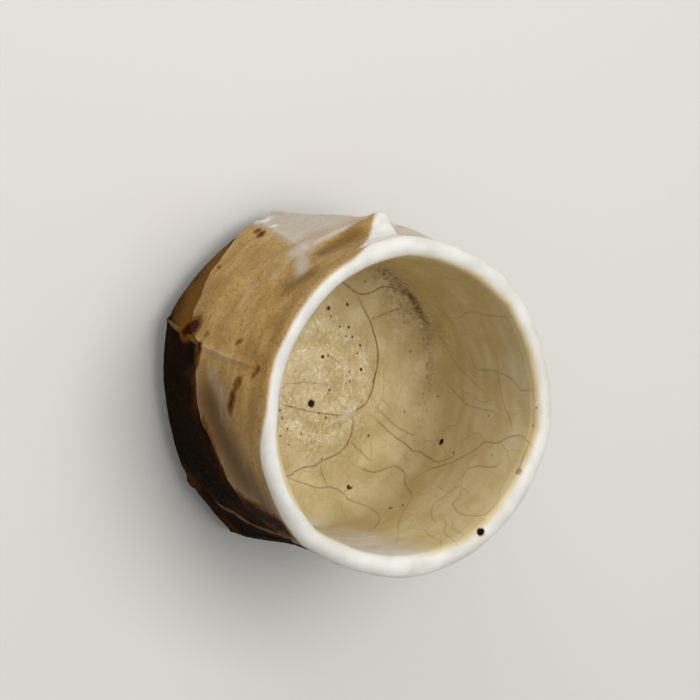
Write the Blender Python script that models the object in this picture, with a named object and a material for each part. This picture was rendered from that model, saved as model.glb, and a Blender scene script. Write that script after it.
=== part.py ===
"""A hand-thrown tea cup whose outside was cut into facets with a wire while the clay was soft.

The cup stands upright on its foot ring: metres, +Z up, origin under the middle of its box.
"""

import math

import bmesh
import bpy
from mathutils import Vector

for old in list(bpy.data.objects):
    bpy.data.objects.remove(old, do_unlink=True)

MM = 0.001

# Driving sizes of the thrown cup.
HEIGHT = 60 * MM
LIP_RADIUS = 41.5 * MM
LIP_WALL = 3.2 * MM
BORE_RADIUS = 36.8 * MM
FLOOR_HEIGHT = 13 * MM
FLOOR_CROWN = 0.7 * MM
FLOOR_FILLET = 3.5 * MM
BASE_HEIGHT = 5.5 * MM
BASE_RADIUS = 34 * MM

# The glaze: a coat that stays a hair clear of the clay, so that the two are separate solids.
CLEARANCE = 0.3 * MM
COAT = 0.6 * MM
PROUD = CLEARANCE + COAT

# The lip is rolled round this height; the outer coat starts this far below the lip's top.
LIP_CENTRE = HEIGHT - PROUD - LIP_WALL / 2
GLAZE_TOP = HEIGHT - LIP_CENTRE

# The foot ring, luted under the base: radii where it meets the base and where it stands.
FOOT_TOP_RADII = (23.5 * MM, 30.5 * MM)
FOOT_STAND_RADII = (24.5 * MM, 29.5 * MM)
FOOT_EDGE = 0.8 * MM
FOOT_HEIGHT = BASE_HEIGHT - CLEARANCE
FOOT_HOLLOW = 1.8 * MM
FOOT_NIB = 0.7 * MM

# The thrown axis stands off the middle of the box, because the facets were cut by eye.
AXIS = (2.2 * MM, -0.4 * MM, 0)

# Levels below the lip at which the ridges are given.
FACET_FOOT = 52 * MM
FACET_WAIST = 33 * MM
FACET_SHOULDER = 14 * MM

# Ridges between the facets, going round. Angles in degrees at foot, waist and lip; radii in
# millimetres at foot, waist and shoulder; then the lip's own radius, which the cuts pulled about,
# and the two depths between which the ridge sinks into the lip.
RIDGES = (
    ((209, 199, 194), (46.2, 45.9, 46.4), 41.9, (8, 17)),
    ((213, 217, 227), (46.0, 44.6, 42.6), 41.2, (2, 14)),
    ((258, 263, 266), (45.6, 44.4, 43.2), 40.4, (2, 14)),
    ((316, 326, 330), (42.0, 42.9, 42.6), 41.6, (2, 12)),
    ((342, 346, 350), (43.8, 41.2, 40.8), 40.5, (2, 14)),
    ((399, 400, 401), (43.6, 43.4, 42.8), 41.6, (2, 14)),
    ((456, 454, 452), (45.0, 45.2, 44.4), 42.8, (2, 14)),
    ((513, 508, 503), (45.6, 45.4, 44.0), 41.7, (2, 14)),
)
# How deep each facet is cut behind the arc through its two ridges, and its columns of faces.
FACET_DIPS = (0.5, 1.2, 2.4, 1.0, 1.6, 2.4, 2.6, 2.6)
FACET_COLUMNS = (4, 8, 8, 5, 7, 8, 8, 8)
# The share of that depth which is left at the lip.
DIP_AT_LIP = 0.2

# Clay torn up into peaks where two cuts met: ridge, depth, height and reach in millimetres.
PEAKS = ((0, 17.0, 1.9, 3.2), (0, 49.5, 0.9, 4.0), (2, 48.0, 0.6, 4.0))

# The glaze hem: places round the ridges (2.5 is halfway from ridge 2 to ridge 3) and depths in
# millimetres. The bare clay climbs almost to the lip between ridges 3 and 4.
HEM = (
    (0.0, 51.0), (1.2, 51.0), (1.46, 47.5), (1.79, 43.0), (1.92, 41.0), (2.0, 33.5), (2.3, 33.0),
    (2.43, 31.2), (2.55, 25.0), (2.7, 24.0), (2.82, 21.5), (2.91, 17.0), (3.0, 8.0), (3.5, 7.0),
    (4.0, 10.0), (4.4, 22.0), (4.8, 36.0), (5.2, 44.0), (5.6, 47.0), (6.0, 43.0), (6.5, 49.0),
    (7.0, 46.0), (7.5, 50.0), (8.0, 51.0),
)

# How finely the surfaces are divided, and how strongly the columns crowd towards the ridges.
GLAZED_ROWS = 12
BARE_ROWS = 5
BORE_ROWS = 4
ARC_STEPS = 4
LIP_STEPS = 6
FOOT_STEPS = 48
CROWDING = 0.6
FLOOR_RINGS = (0.6, 0.25, 0.0)
WELD = 0.002 * MM
SHARP_ANGLE = math.radians(24)


def eased(share):
    """A smooth step from 0 to 1."""
    share = min(max(share, 0.0), 1.0)
    return share * share * (3 - 2 * share)


def through(levels, values, level):
    """The parabola through three values at three levels."""
    total = 0.0
    for i, value in enumerate(values):
        weight = 1.0
        for j in range(3):
            if j != i:
                weight *= (level - levels[j]) / (levels[i] - levels[j])
        total += weight * value
    return total


def ridge_angle(number, depth):
    """Direction of a ridge at a depth below the lip, in radians, counted on past a full turn."""
    laps, index = divmod(number, len(RIDGES))
    angle = through((FACET_FOOT, FACET_WAIST, 0), RIDGES[index][0], min(depth, FACET_FOOT))
    return math.radians(angle + 360 * laps)


def ridge_radius(number, depth):
    """How far the clay stands out at a ridge: the cut's own curve, easing into the round lip."""
    _, radii, lip, (start, end) = RIDGES[number % len(RIDGES)]
    levels = (FACET_FOOT, FACET_WAIST, FACET_SHOULDER)
    cut = through(levels, radii, min(max(depth, FACET_SHOULDER), FACET_FOOT))
    return MM * (lip + (cut - lip) * eased((depth / MM - start) / (end - start)))


def peaks(turn, depth):
    """Extra height of the torn peaks near a place on the wall."""
    total = 0.0
    for ridge, level, height, reach in PEAKS:
        along = depth / MM - level
        across = math.remainder(turn - ridge, len(RIDGES)) * LIP_RADIUS / MM
        total += height * math.exp(-(along * along + across * across) / (reach * reach))
    return MM * total


def outside(turn, depth):
    """Radius and direction of the clay's outer face, turn counting ridges round the cup."""
    number = math.floor(turn)
    share = turn - number
    angle = ridge_angle(number, depth)
    angle += share * (ridge_angle(number + 1, depth) - angle)
    radius = ridge_radius(number, depth)
    radius += share * (ridge_radius(number + 1, depth) - radius)
    hollow = 1 - (2 * share - 1) ** 2
    cut = DIP_AT_LIP + (1 - DIP_AT_LIP) * eased(depth / FACET_SHOULDER)
    radius -= MM * FACET_DIPS[number % len(RIDGES)] * hollow * cut
    return radius + peaks(turn, depth), angle


def hem(turn):
    """Depth of the glaze's lower edge, eased from each named place to the next."""
    for (start, first), (end, last) in zip(HEM, HEM[1:]):
        if turn <= end:
            return MM * (first + (last - first) * eased((turn - start) / (end - start)))
    return MM * HEM[-1][1]


def polar(radius, angle, height):
    return Vector((radius * math.cos(angle), radius * math.sin(angle), height))


def wall_station(upper, lower, share, proud):
    """A ring on the outside, between two depth rules, standing proud of the clay."""

    def place(turn):
        depth = upper(turn) + (lower(turn) - upper(turn)) * share
        radius, angle = outside(turn, depth)
        return polar(radius + proud, angle, HEIGHT - depth)

    return place


def glaze_start(turn):
    return GLAZE_TOP + CLEARANCE


def facet_foot(turn):
    return FACET_FOOT


def lip_station(roll, proud):
    """A ring on the rolled lip: roll 0 faces out, a quarter turn faces up, a half turn faces in."""

    def place(turn):
        edge, angle = outside(turn, GLAZE_TOP)
        half = LIP_WALL / 2 + proud
        radius = edge - LIP_WALL / 2 + half * math.cos(roll)
        return polar(radius, angle, LIP_CENTRE + half * math.sin(roll))

    return place


def bore_station(share, proud):
    """A ring on the inner wall, which runs from the lip's outline down to a true round."""
    fillet_top = FLOOR_HEIGHT + FLOOR_FILLET

    def place(turn):
        edge, angle = outside(turn, GLAZE_TOP)
        radius = edge - LIP_WALL
        radius += (BORE_RADIUS - radius) * math.sqrt(share)
        return polar(radius - proud, angle, LIP_CENTRE + (fillet_top - LIP_CENTRE) * share)

    return place


def corner_station(roll, proud):
    """A ring on the fillet between the inner wall and the floor."""

    def place(turn):
        angle = outside(turn, GLAZE_TOP)[1]
        fillet = FLOOR_FILLET - proud
        radius = BORE_RADIUS - FLOOR_FILLET + fillet * math.cos(roll)
        return polar(radius, angle, FLOOR_HEIGHT + FLOOR_FILLET - fillet * math.sin(roll))

    return place


def level_station(radius, height):
    """A round ring at one height; radius 0 closes the skin in a point."""

    def place(turn):
        return polar(radius, outside(turn, GLAZE_TOP)[1], height)

    return place


def turned_in(share):
    """A ring under the facets, where the wall turns in to the base."""

    def place(turn):
        radius, angle = outside(turn, FACET_FOOT)
        quarter = share * math.pi / 2
        radius = BASE_RADIUS + (radius - BASE_RADIUS) * math.cos(quarter)
        rise = HEIGHT - FACET_FOOT - BASE_HEIGHT
        return polar(radius, angle, BASE_HEIGHT + rise * (1 - math.sin(quarter)))

    return place


def inside_stations(proud):
    """Rings from below the lip's inner edge down to the middle of the floor."""
    rings = [bore_station(row / BORE_ROWS, proud) for row in range(1, BORE_ROWS + 1)]
    for step in range(1, ARC_STEPS + 1):
        rings.append(corner_station(step / ARC_STEPS * math.pi / 2, proud))
    floor_edge = BORE_RADIUS - FLOOR_FILLET
    for share in FLOOR_RINGS:
        height = FLOOR_HEIGHT + proud + FLOOR_CROWN * eased(1 - share)
        rings.append(level_station(floor_edge * share, height))
    return rings


def lip_stations(proud, steps):
    return [lip_station(step / steps * math.pi, proud) for step in range(steps + 1)]


TURNS = []
for facet, columns in enumerate(FACET_COLUMNS):
    for step in range(columns):
        even = step / columns
        crowded = (1 - math.cos(even * math.pi)) / 2
        TURNS.append(facet + even + CROWDING * (crowded - even))


def material(name, red, green, blue, roughness):
    """A plain surface; the colour is given as it looks, from 0 to 255, and stored as linear light."""
    look = bpy.data.materials.new(name)
    look.use_nodes = True
    shader = look.node_tree.nodes["Principled BSDF"]
    linear = [((part / 255 + 0.055) / 1.055) ** 2.4 for part in (red, green, blue)]
    shader.inputs["Base Color"].default_value = (*linear, 1)
    shader.inputs["Roughness"].default_value = roughness
    shader.inputs["Metallic"].default_value = 0
    return look


def finished(name, bm, look, parent):
    """Turn a closed bmesh into a named object, smooth but with its ridges kept sharp."""
    bmesh.ops.remove_doubles(bm, verts=bm.verts, dist=WELD)
    bmesh.ops.recalc_face_normals(bm, faces=bm.faces)
    mesh = bpy.data.meshes.new(name)
    bm.to_mesh(mesh)
    bm.free()
    mesh.materials.append(look)
    mesh.shade_smooth()
    mesh.set_sharp_from_angle(angle=SHARP_ANGLE)
    piece = bpy.data.objects.new(name, mesh)
    piece.parent = parent
    bpy.context.scene.collection.objects.link(piece)
    return piece


def loft(stations):
    """Skin a row of rings: each ring is grown out of the last and moved to its own places."""
    bm = bmesh.new()
    column = bm.verts.layers.int.new("column")
    first = bmesh.ops.create_circle(bm, segments=len(TURNS), radius=LIP_RADIUS)["verts"]
    for number, vert in enumerate(first):
        vert[column] = number
        vert.co = stations[0](TURNS[number])
    edges = list(bm.edges)
    for station in stations[1:]:
        grown = bmesh.ops.extrude_edge_only(bm, edges=edges)["geom"]
        edges = [part for part in grown if isinstance(part, bmesh.types.BMEdge)]
        for vert in grown:
            if isinstance(vert, bmesh.types.BMVert):
                vert.co = station(TURNS[vert[column]])
    return bm


def make_clay_body(parent):
    """Wall and floor in one piece of clay, from the hollow under the foot to the drinking floor."""
    hollow = BASE_HEIGHT + FOOT_HOLLOW
    seat = FOOT_TOP_RADII[0] - CLEARANCE
    stations = [
        level_station(0, hollow - FOOT_NIB),
        level_station(seat / 4, hollow),
        level_station(seat * 3 / 4, hollow - FOOT_HOLLOW / 5),
        level_station(seat, BASE_HEIGHT),
    ]
    stations += [turned_in(share) for share in (1, 2 / 3, 1 / 3)]
    for row in range(BARE_ROWS):
        stations.append(wall_station(facet_foot, hem, row / BARE_ROWS, 0))
    for row in range(GLAZED_ROWS + 1):
        stations.append(wall_station(hem, glaze_start, row / GLAZED_ROWS, 0))
    stations += lip_stations(0, ARC_STEPS)
    stations += inside_stations(0)
    look = material("iron_stoneware", 52, 40, 31, 0.85)
    return finished("clay_body", loft(stations), look, parent)


def make_outer_glaze(parent):
    """The outer coat: down its face from the lip to the hem, and back up against the clay."""
    shares = [row / GLAZED_ROWS for row in range(GLAZED_ROWS + 1)]
    stations = [wall_station(glaze_start, hem, share, PROUD) for share in shares]
    stations += [wall_station(glaze_start, hem, share, CLEARANCE) for share in reversed(shares)]
    stations.append(stations[0])
    look = material("tan_glaze", 178, 156, 124, 0.38)
    return finished("outer_glaze", loft(stations), look, parent)


def make_liner_glaze(parent):
    """The inner coat: over the lip, down the wall and across the floor, with its hidden side."""
    seen = lip_stations(PROUD, LIP_STEPS) + inside_stations(PROUD)
    hidden = lip_stations(CLEARANCE, ARC_STEPS) + inside_stations(CLEARANCE)
    look = material("cream_glaze", 206, 192, 154, 0.32)
    return finished("liner_glaze", loft(seen[::-1] + hidden), look, parent)


def make_foot_ring(parent):
    """A tapering ring with softened edges, spun from its section."""
    bm = bmesh.new()
    section = (
        (FOOT_STAND_RADII[0], 0),
        (FOOT_STAND_RADII[1], 0),
        (FOOT_TOP_RADII[1], FOOT_HEIGHT),
        (FOOT_TOP_RADII[0], FOOT_HEIGHT),
    )
    bm.faces.new([bm.verts.new((radius, 0, height)) for radius, height in section])
    bmesh.ops.bevel(
        bm, geom=bm.verts[:], offset=FOOT_EDGE, segments=2, profile=0.5,
        affect="VERTICES", material=-1,
    )
    bmesh.ops.delete(bm, geom=bm.faces[:], context="FACES_ONLY")
    bmesh.ops.spin(
        bm, geom=bm.verts[:] + bm.edges[:], cent=(0, 0, 0), axis=(0, 0, 1),
        angle=2 * math.pi, steps=FOOT_STEPS, use_merge=True,
    )
    look = material("foot_stoneware", 66, 48, 34, 0.8)
    return finished("foot_ring", bm, look, parent)


axis = bpy.data.objects.new("thrown_axis", None)
axis.location = AXIS
bpy.context.scene.collection.objects.link(axis)

make_clay_body(axis)
make_outer_glaze(axis)
make_liner_glaze(axis)
make_foot_ring(axis)
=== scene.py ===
# %% [markdown]
# # A faceted tea cup, dressed
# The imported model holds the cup's clay, its foot ring and its two coats of glaze as plain solids.
# This lesson dresses them: each solid gets a finer piece that has the same form, the small tears
# and runs of a hand-made pot, and a glaze or clay finish. The cup stands upright in metres, +Z up.

import math
from functools import cache, partial

import bmesh
import bpy
import numpy as np
from mathutils import Matrix, Vector, noise
from mathutils.bvhtree import BVHTree


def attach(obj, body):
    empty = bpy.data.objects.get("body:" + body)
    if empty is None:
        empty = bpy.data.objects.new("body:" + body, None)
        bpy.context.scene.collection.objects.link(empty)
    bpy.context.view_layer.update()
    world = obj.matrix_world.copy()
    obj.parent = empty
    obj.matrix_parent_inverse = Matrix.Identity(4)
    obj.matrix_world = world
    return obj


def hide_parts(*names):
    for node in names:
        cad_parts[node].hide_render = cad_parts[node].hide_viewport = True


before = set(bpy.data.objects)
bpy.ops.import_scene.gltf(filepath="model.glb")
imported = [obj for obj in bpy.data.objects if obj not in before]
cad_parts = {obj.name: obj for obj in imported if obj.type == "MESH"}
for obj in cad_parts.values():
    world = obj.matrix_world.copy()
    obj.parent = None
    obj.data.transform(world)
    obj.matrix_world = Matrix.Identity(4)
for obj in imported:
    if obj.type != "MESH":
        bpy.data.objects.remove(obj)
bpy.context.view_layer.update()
print("nodes:", sorted(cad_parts))

# %% [markdown]
# ## The form
# The potter threw a round cup, then cut its outside into facets with a wire while it was soft.
# The ridges between the cuts lean and twist, so a ridge is given by its direction and radius at
# three depths below the lip. These are the values that the solids were made from, but for a horn
# that is rounder and nearer the lip and a glaze hem that was drawn again, so the fine pieces lie
# on the plain ones.

# %% Sizes of the thrown cup
MM = 0.001
HEIGHT = 60 * MM
LIP_RADIUS = 41.5 * MM
LIP_WALL = 3.2 * MM
BORE_RADIUS = 36.8 * MM
FLOOR_HEIGHT = 13 * MM
FLOOR_CROWN = 0.7 * MM
FLOOR_FILLET = 3.5 * MM
BASE_HEIGHT = 5.5 * MM
BASE_RADIUS = 34 * MM
PROUD = 0.9 * MM
LIP_CENTRE = HEIGHT - PROUD - LIP_WALL / 2
GLAZE_TOP = HEIGHT - LIP_CENTRE
AXIS = Vector((2.2, -0.4, 0)) * MM
FACET_FOOT, FACET_WAIST, FACET_SHOULDER = 52 * MM, 33 * MM, 14 * MM

# Ridges going round: degrees at foot, waist and lip; millimetres at foot, waist and shoulder; the
# lip's radius there; and the two depths between which the ridge sinks into the lip.
RIDGES = (
    ((209, 199, 194), (46.2, 45.9, 46.4), 41.9, (8, 17)),
    ((213, 217, 227), (46.0, 44.6, 42.6), 41.2, (2, 14)),
    ((258, 263, 266), (45.6, 44.4, 43.2), 40.4, (2, 14)),
    ((316, 326, 330), (42.0, 42.9, 42.6), 41.6, (2, 12)),
    ((342, 346, 350), (43.8, 41.2, 40.8), 40.5, (2, 14)),
    ((399, 400, 401), (43.6, 43.4, 42.8), 41.6, (2, 14)),
    ((456, 454, 452), (45.0, 45.2, 44.4), 42.8, (2, 14)),
    ((513, 508, 503), (45.6, 45.4, 44.0), 41.7, (2, 14)),
)
FACET_DIPS = (0.5, 1.2, 2.4, 1.0, 1.6, 2.4, 2.6, 2.6)
DIP_AT_LIP = 0.2
# Torn peaks: place round the ridges, depth, height and reach in millimetres.
PEAKS = ((-0.05, 15.4, 1.2, 3.0), (0, 49.5, 0.9, 4.0), (2, 48.0, 0.6, 4.0))
# The glaze hem: places round the ridges and depths in millimetres.
HEM = (
    (0.0, 51.8), (1.1, 51.8), (1.46, 47.5), (1.79, 43.0), (1.95, 40.4), (2.0, 33.5), (2.3, 33.0),
    (2.41, 32.2), (2.48, 28.6), (2.66, 26.6), (2.79, 23.5), (2.89, 18.0), (3.0, 8.0), (3.5, 7.0),
    (4.0, 10.0), (4.4, 22.0), (4.8, 36.0), (5.2, 44.0), (5.6, 47.0), (6.0, 43.0), (6.5, 49.0),
    (7.0, 46.0), (7.5, 50.0), (8.0, 51.8),
)
print(len(RIDGES), "ridges on a cup", round(HEIGHT / MM), "mm high")

# %% The wall's outer face
def eased(share):
    """A smooth step from 0 to 1."""
    share = min(max(share, 0.0), 1.0)
    return share * share * (3 - 2 * share)


def ramp(value, start, end):
    """A smooth step from 0 at the start to 1 at the end."""
    return eased((value - start) / (end - start))


def faded(gap, reach):
    """A soft spot: 1 in its middle, falling off over its reach."""
    return math.exp(-((gap / reach) ** 2))


def through(levels, values, level):
    """The parabola through three values at three levels."""
    total = 0.0
    for i, value in enumerate(values):
        weight = 1.0
        for j in range(3):
            if j != i:
                weight *= (level - levels[j]) / (levels[i] - levels[j])
        total += weight * value
    return total


def ridge_angle(number, depth):
    """Direction of a ridge at a depth, in radians, counted on past a full turn."""
    laps, index = divmod(number, len(RIDGES))
    angle = through((FACET_FOOT, FACET_WAIST, 0), RIDGES[index][0], min(depth, FACET_FOOT))
    return math.radians(angle + 360 * laps)


def ridge_radius(number, depth):
    """The cut's own curve, easing into the round lip."""
    _, radii, lip, (start, end) = RIDGES[number % len(RIDGES)]
    levels = (FACET_FOOT, FACET_WAIST, FACET_SHOULDER)
    cut = through(levels, radii, min(max(depth, FACET_SHOULDER), FACET_FOOT))
    return MM * (lip + (cut - lip) * ramp(depth / MM, start, end))


def peaks(turn, depth):
    """Extra height of the torn peaks near a place on the wall."""
    total = 0.0
    for ridge, level, height, reach in PEAKS:
        along = depth / MM - level
        across = math.remainder(turn - ridge, len(RIDGES)) * LIP_RADIUS / MM
        total += height * faded(math.hypot(along, across), reach)
    return MM * total


def outside(turn, depth):
    """Radius and direction of the clay's outer face, turn counting ridges round the cup."""
    number = math.floor(turn)
    share = turn - number
    angle = ridge_angle(number, depth)
    angle += share * (ridge_angle(number + 1, depth) - angle)
    radius = ridge_radius(number, depth)
    radius += share * (ridge_radius(number + 1, depth) - radius)
    hollow = 1 - (2 * share - 1) ** 2
    cut = DIP_AT_LIP + (1 - DIP_AT_LIP) * eased(depth / FACET_SHOULDER)
    radius -= MM * FACET_DIPS[number % len(RIDGES)] * hollow * cut
    return radius + peaks(turn, depth), angle


def hem(turn):
    """Depth of the glaze's lower edge."""
    for (start, first), (end, last) in zip(HEM, HEM[1:]):
        if turn <= end:
            return MM * (first + (last - first) * ramp(turn, start, end))
    return MM * HEM[-1][1]


print("lip seam", round(GLAZE_TOP / MM, 2), "mm below the top")

# %% [markdown]
# ## The hand-made surface
# A wire leaves drag lines down each cut, and soft clay tears along the ridges: the edge stands up
# as a thin lip with small chips in it, and the clay beside it is pulled hollow. Fingers pressed
# folds and hollows in, and squeezed the lip a little wider between two ridges. A texture could
# fake this only seen from the front, so it goes into the mesh.

# %% Places and strokes on the unrolled wall
UNROLL = 44.0
LAP = 2 * math.pi * UNROLL


@cache
def unrolled(turn, level):
    """A place on the wall, by turn and depth in millimetres, as flat millimetres round and down."""
    return Vector((outside(turn, level * MM)[1] * UNROLL, level))


def on_wall(angle, level, start):
    """A place on the wall in flat millimetres, on the same lap as another one."""
    return Vector((start.x + math.remainder(angle * UNROLL - start.x, LAP), level))


def beside(spot, start, end):
    """How far along a stroke a flat place lies, from 0 to 1, and the way from the stroke to it."""
    along = end - start
    away = spot - start
    share = min(max(away.dot(along) / along.length_squared, 0.0), 1.0)
    return share, away - along * share


def ring_point(radius, angle, height):
    return AXIS + Vector((radius * math.cos(angle), radius * math.sin(angle), height))


print("a ridge at", [round(part, 1) for part in unrolled(2, 33.0)], "mm on the unrolled wall")

# %% Tears, drag lines and waves in the clay
RIDGE_WIDTH = 0.8
RIDGE_FLANK = 3.2
CHIP_LENGTH, CHIP_WIDTH = 2.6, 4.0
CHIP_SEED = 5.1
# How hollow the clay is beside each ridge, and how deep its chips are, in millimetres.
TEARS = (
    (0.25, 0.15), (0.2, 0.3), (0.55, 0.45), (0.6, 0.6), (0.3, 0.4), (0.4, 0.5), (0.5, 0.5), (0.4, 0.5),
)
WAVE, WAVE_SIZE = 0.25, 9.0
DRAG, DRAG_SIZE, DRAG_LENGTH = 0.10, 1.7, 16.0
# Waves and drag lines are sunk by this share of their height, to stay inside the solid's outline.
SUNK = 0.3
SEAM = GLAZE_TOP / MM
RELIEF_FULL = SEAM + 8


def relief(turn, level, angle):
    """How far the torn and dragged clay departs from the plain form, in millimetres."""
    depth = level * MM
    number = math.floor(turn)
    share = turn - number
    width = (ridge_angle(number + 1, depth) - ridge_angle(number, depth)) * UNROLL
    spot = Vector((math.cos(angle) * UNROLL, math.sin(angle) * UNROLL, level))
    total = WAVE * (noise.noise(spot / WAVE_SIZE) - SUNK)
    streak = Vector((spot.x / DRAG_SIZE, spot.y / DRAG_SIZE, level / DRAG_LENGTH))
    total += DRAG * (noise.noise(streak) - SUNK)
    for ridge, across in ((number, share * width), (number + 1, (1 - share) * width)):
        ridge %= len(RIDGES)
        hollow, chips = TEARS[ridge]
        crest = faded(across, RIDGE_WIDTH)
        total -= hollow * (1 - crest) * faded(across, RIDGE_FLANK)
        torn = noise.noise(Vector((ridge * CHIP_SEED, level / CHIP_LENGTH, across / CHIP_WIDTH)))
        total -= chips * max(torn, 0.0) * crest
    return total * ramp(level, SEAM, RELIEF_FULL)


print("relief on a ridge:", round(relief(2, 30.0, unrolled(2, 30.0).x / UNROLL), 2), "mm")

# %% Folds, hollows and swellings
# Raised folds: from and to (turn, depth in mm), height at both ends, reach towards the mouth and
# towards the foot, in millimetres.
FOLDS = (
    ((1.62, 21.7), (1.28, 23.3), 0.05, 0.3, 3.0, 2.4),
    ((1.28, 23.3), (1.08, 22.0), 0.3, 0.5, 2.4, 2.0),
    ((1.08, 22.0), (0.97, 19.8), 0.5, 0.75, 2.0, 1.6),
    ((0.97, 19.8), (0.80, 17.3), 0.75, 0.7, 1.1, 3.0),
    ((0.80, 17.3), (0.06, 17.5), 0.7, 0.1, 1.1, 3.0),
)
# Presses: turn, depth, half width, half height and how deep, in millimetres.
HOLLOWS = (
    # Finger hollows beside the horn and under the lip.
    (0.58, 12.8, 7.0, 4.2, 1.0), (1.05, 6.5, 4.0, 2.5, 0.3), (7.84, 11.5, 3.2, 4.0, 1.2),
    # The horn: its crest cut short, a saddle behind it and a hollow at its side.
    (0.0, 15.0, 0.9, 3.4, 0.4), (0.0, 22.5, 6.0, 4.5, 0.6), (7.88, 15.0, 2.6, 4.2, 0.7),
    # Below nought, so standing up: the knob on the horn, beads of glaze and crumbs of clay.
    (7.98, 14.9, 2.2, 2.2, -0.95),
    (0.67, 50.0, 1.7, 1.7, -0.45), (0.89, 41.5, 1.2, 1.2, -0.4), (2.99, 50.0, 1.6, 1.6, -0.5),
    (3.10, 48.4, 1.3, 1.3, -0.4), (3.30, 49.6, 1.8, 1.5, -0.5), (3.92, 48.3, 1.8, 1.6, -0.4),
    (3.55, 50.2, 1.4, 1.2, -0.4), (5.5, 50.4, 1.8, 1.4, -0.4), (6.6, 50.8, 1.5, 1.2, -0.4),
)
PRESS_FULL = SEAM + 3
# Where the lip is squeezed wider: degrees round, half width in degrees, millimetres.
SWELLS = ((65, 20, 1.0), (18, 17, 0.9), (150, 9, 0.4))
SWELL_DEPTH = 15.0


def pressed(angle, level):
    """Folds and hollows that fingers and the wire left, in millimetres."""
    total = 0.0
    for start, end, rise, fall, mouth_reach, foot_reach in FOLDS:
        start = unrolled(*start)
        share, gap = beside(on_wall(angle, level, start), start, unrolled(*end))
        reach = foot_reach if gap.y > 0 else mouth_reach
        total = max(total, (rise + (fall - rise) * share) * faded(gap.length, reach))
    for turn, depth, wide, tall, press in HOLLOWS:
        middle = unrolled(turn, depth)
        gap = on_wall(angle, level, middle) - middle
        total -= press * faded(gap.x, wide) * faded(gap.y, tall)
    return total * ramp(level, SEAM, PRESS_FULL)


def swell(angle, level):
    """How much wider the squeezed lip is, in millimetres."""
    total = 0.0
    for middle, half, height in SWELLS:
        total += height * faded(math.remainder(math.degrees(angle) - middle, 360), half)
    return total * ramp(level, SWELL_DEPTH, 0)


def wall_point(turn, depth, proud):
    """A point of the finished wall, standing proud of the clay."""
    radius, angle = outside(turn, depth)
    level = depth / MM
    departs = relief(turn, level, angle) + pressed(angle, level) + swell(angle, level)
    return ring_point(radius + departs * MM + proud, angle, HEIGHT - depth)


print("a place on the wall:", [round(part / MM, 1) for part in wall_point(1.5, 30 * MM, 0)])

# %% [markdown]
# ## Skinning rings
# Every piece of the cup is a stack of rings. A ring is grown out of the last one by extruding its
# edges, and its points are moved to their own places: that keeps the columns on the ridges, which
# a round spin could not. Each point also carries a few painted weights, such as how white or how
# thin the glaze is there and how much iron came through, which the materials read as attributes.

# %% The loft
FACET_COLUMNS = (40, 40, 40, 25, 35, 40, 40, 40)
CROWDING = 0.6
WELD = 0.002 * MM
SHARP_ANGLE = math.radians(40)
TURNS = []
for facet, columns in enumerate(FACET_COLUMNS):
    for step in range(columns):
        even = step / columns
        crowded = (1 - math.cos(even * math.pi)) / 2
        TURNS.append(facet + even + CROWDING * (crowded - even))


def loft(rings):
    """Skin a row of rings. A ring gives, for a turn, a point and its five painted weights."""
    bm = bmesh.new()
    column = bm.verts.layers.int.new("column")
    coat = bm.verts.layers.float_color.new("coat")
    fifth = bm.verts.layers.float.new("fifth")

    def settle(vert, ring):
        vert.co, paint = ring(TURNS[vert[column]])
        vert[coat] = paint[:4]
        vert[fifth] = paint[4]

    first = bmesh.ops.create_circle(bm, segments=len(TURNS), radius=LIP_RADIUS)["verts"]
    for number, vert in enumerate(first):
        vert[column] = number
        settle(vert, rings[0])
    edges = list(bm.edges)
    for ring in rings[1:]:
        grown = bmesh.ops.extrude_edge_only(bm, edges=edges)["geom"]
        edges = [part for part in grown if isinstance(part, bmesh.types.BMEdge)]
        for part in grown:
            if isinstance(part, bmesh.types.BMVert):
                settle(part, ring)
    return bm


def piece(name, bm, node, look):
    """Close a bmesh, make it an object and put it in the place of its solid."""
    bmesh.ops.remove_doubles(bm, verts=bm.verts, dist=WELD)
    bmesh.ops.recalc_face_normals(bm, faces=bm.faces)
    mesh = bpy.data.meshes.new(name)
    bm.to_mesh(mesh)
    bm.free()
    mesh.materials.append(look)
    mesh.shade_smooth()
    mesh.set_sharp_from_angle(angle=SHARP_ANGLE)
    made = bpy.data.objects.new(name, mesh)
    bpy.context.scene.collection.objects.link(made)
    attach(made, "root")
    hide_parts(node)
    print(name, len(mesh.polygons), "faces")
    return made


print(len(TURNS), "columns round the cup")

# %% [markdown]
# ## Materials: tools
# Colours are written as they look on screen, in hex, and one function turns them into linear
# light. One small function adds a node with its settings and its links, and gives back the output
# that the next node needs.

# %% Colour and node helpers
def linear(code):
    """A hex colour as linear light."""
    parts = [int(code[i:i + 2], 16) / 255 for i in (1, 3, 5)]
    return [p / 12.92 if p < 0.04045 else ((p + 0.055) / 1.055) ** 2.4 for p in parts] + [1.0]


def add(tree, kind, feeds, out=0, **settings):
    """Add a node; feeds gives each input a value or another node's output."""
    made = tree.nodes.new("ShaderNode" + kind)
    for name, value in settings.items():
        setattr(made, name, value)
    for socket, source in feeds.items():
        if isinstance(source, bpy.types.NodeSocket):
            tree.links.new(source, made.inputs[socket])
        elif isinstance(source, str):
            made.inputs[socket].default_value = linear(source)
        else:
            made.inputs[socket].default_value = source
    return made.outputs[out]


def new_look(name, roughness, specular):
    """An empty material with its shader; the roughness is a start for the real one."""
    look = bpy.data.materials.new(name)
    look.use_nodes = True
    shader = look.node_tree.nodes["Principled BSDF"]
    shader.inputs["Roughness"].default_value = roughness
    shader.inputs["Specular IOR Level"].default_value = specular
    return look, look.node_tree, shader


def dress(tree, shader, colour, roughness, normal):
    """Link a finish's colour, roughness and bump to its shader."""
    for socket, source in (("Base Color", colour), ("Roughness", roughness), ("Normal", normal)):
        tree.links.new(source, shader.inputs[socket])


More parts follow.
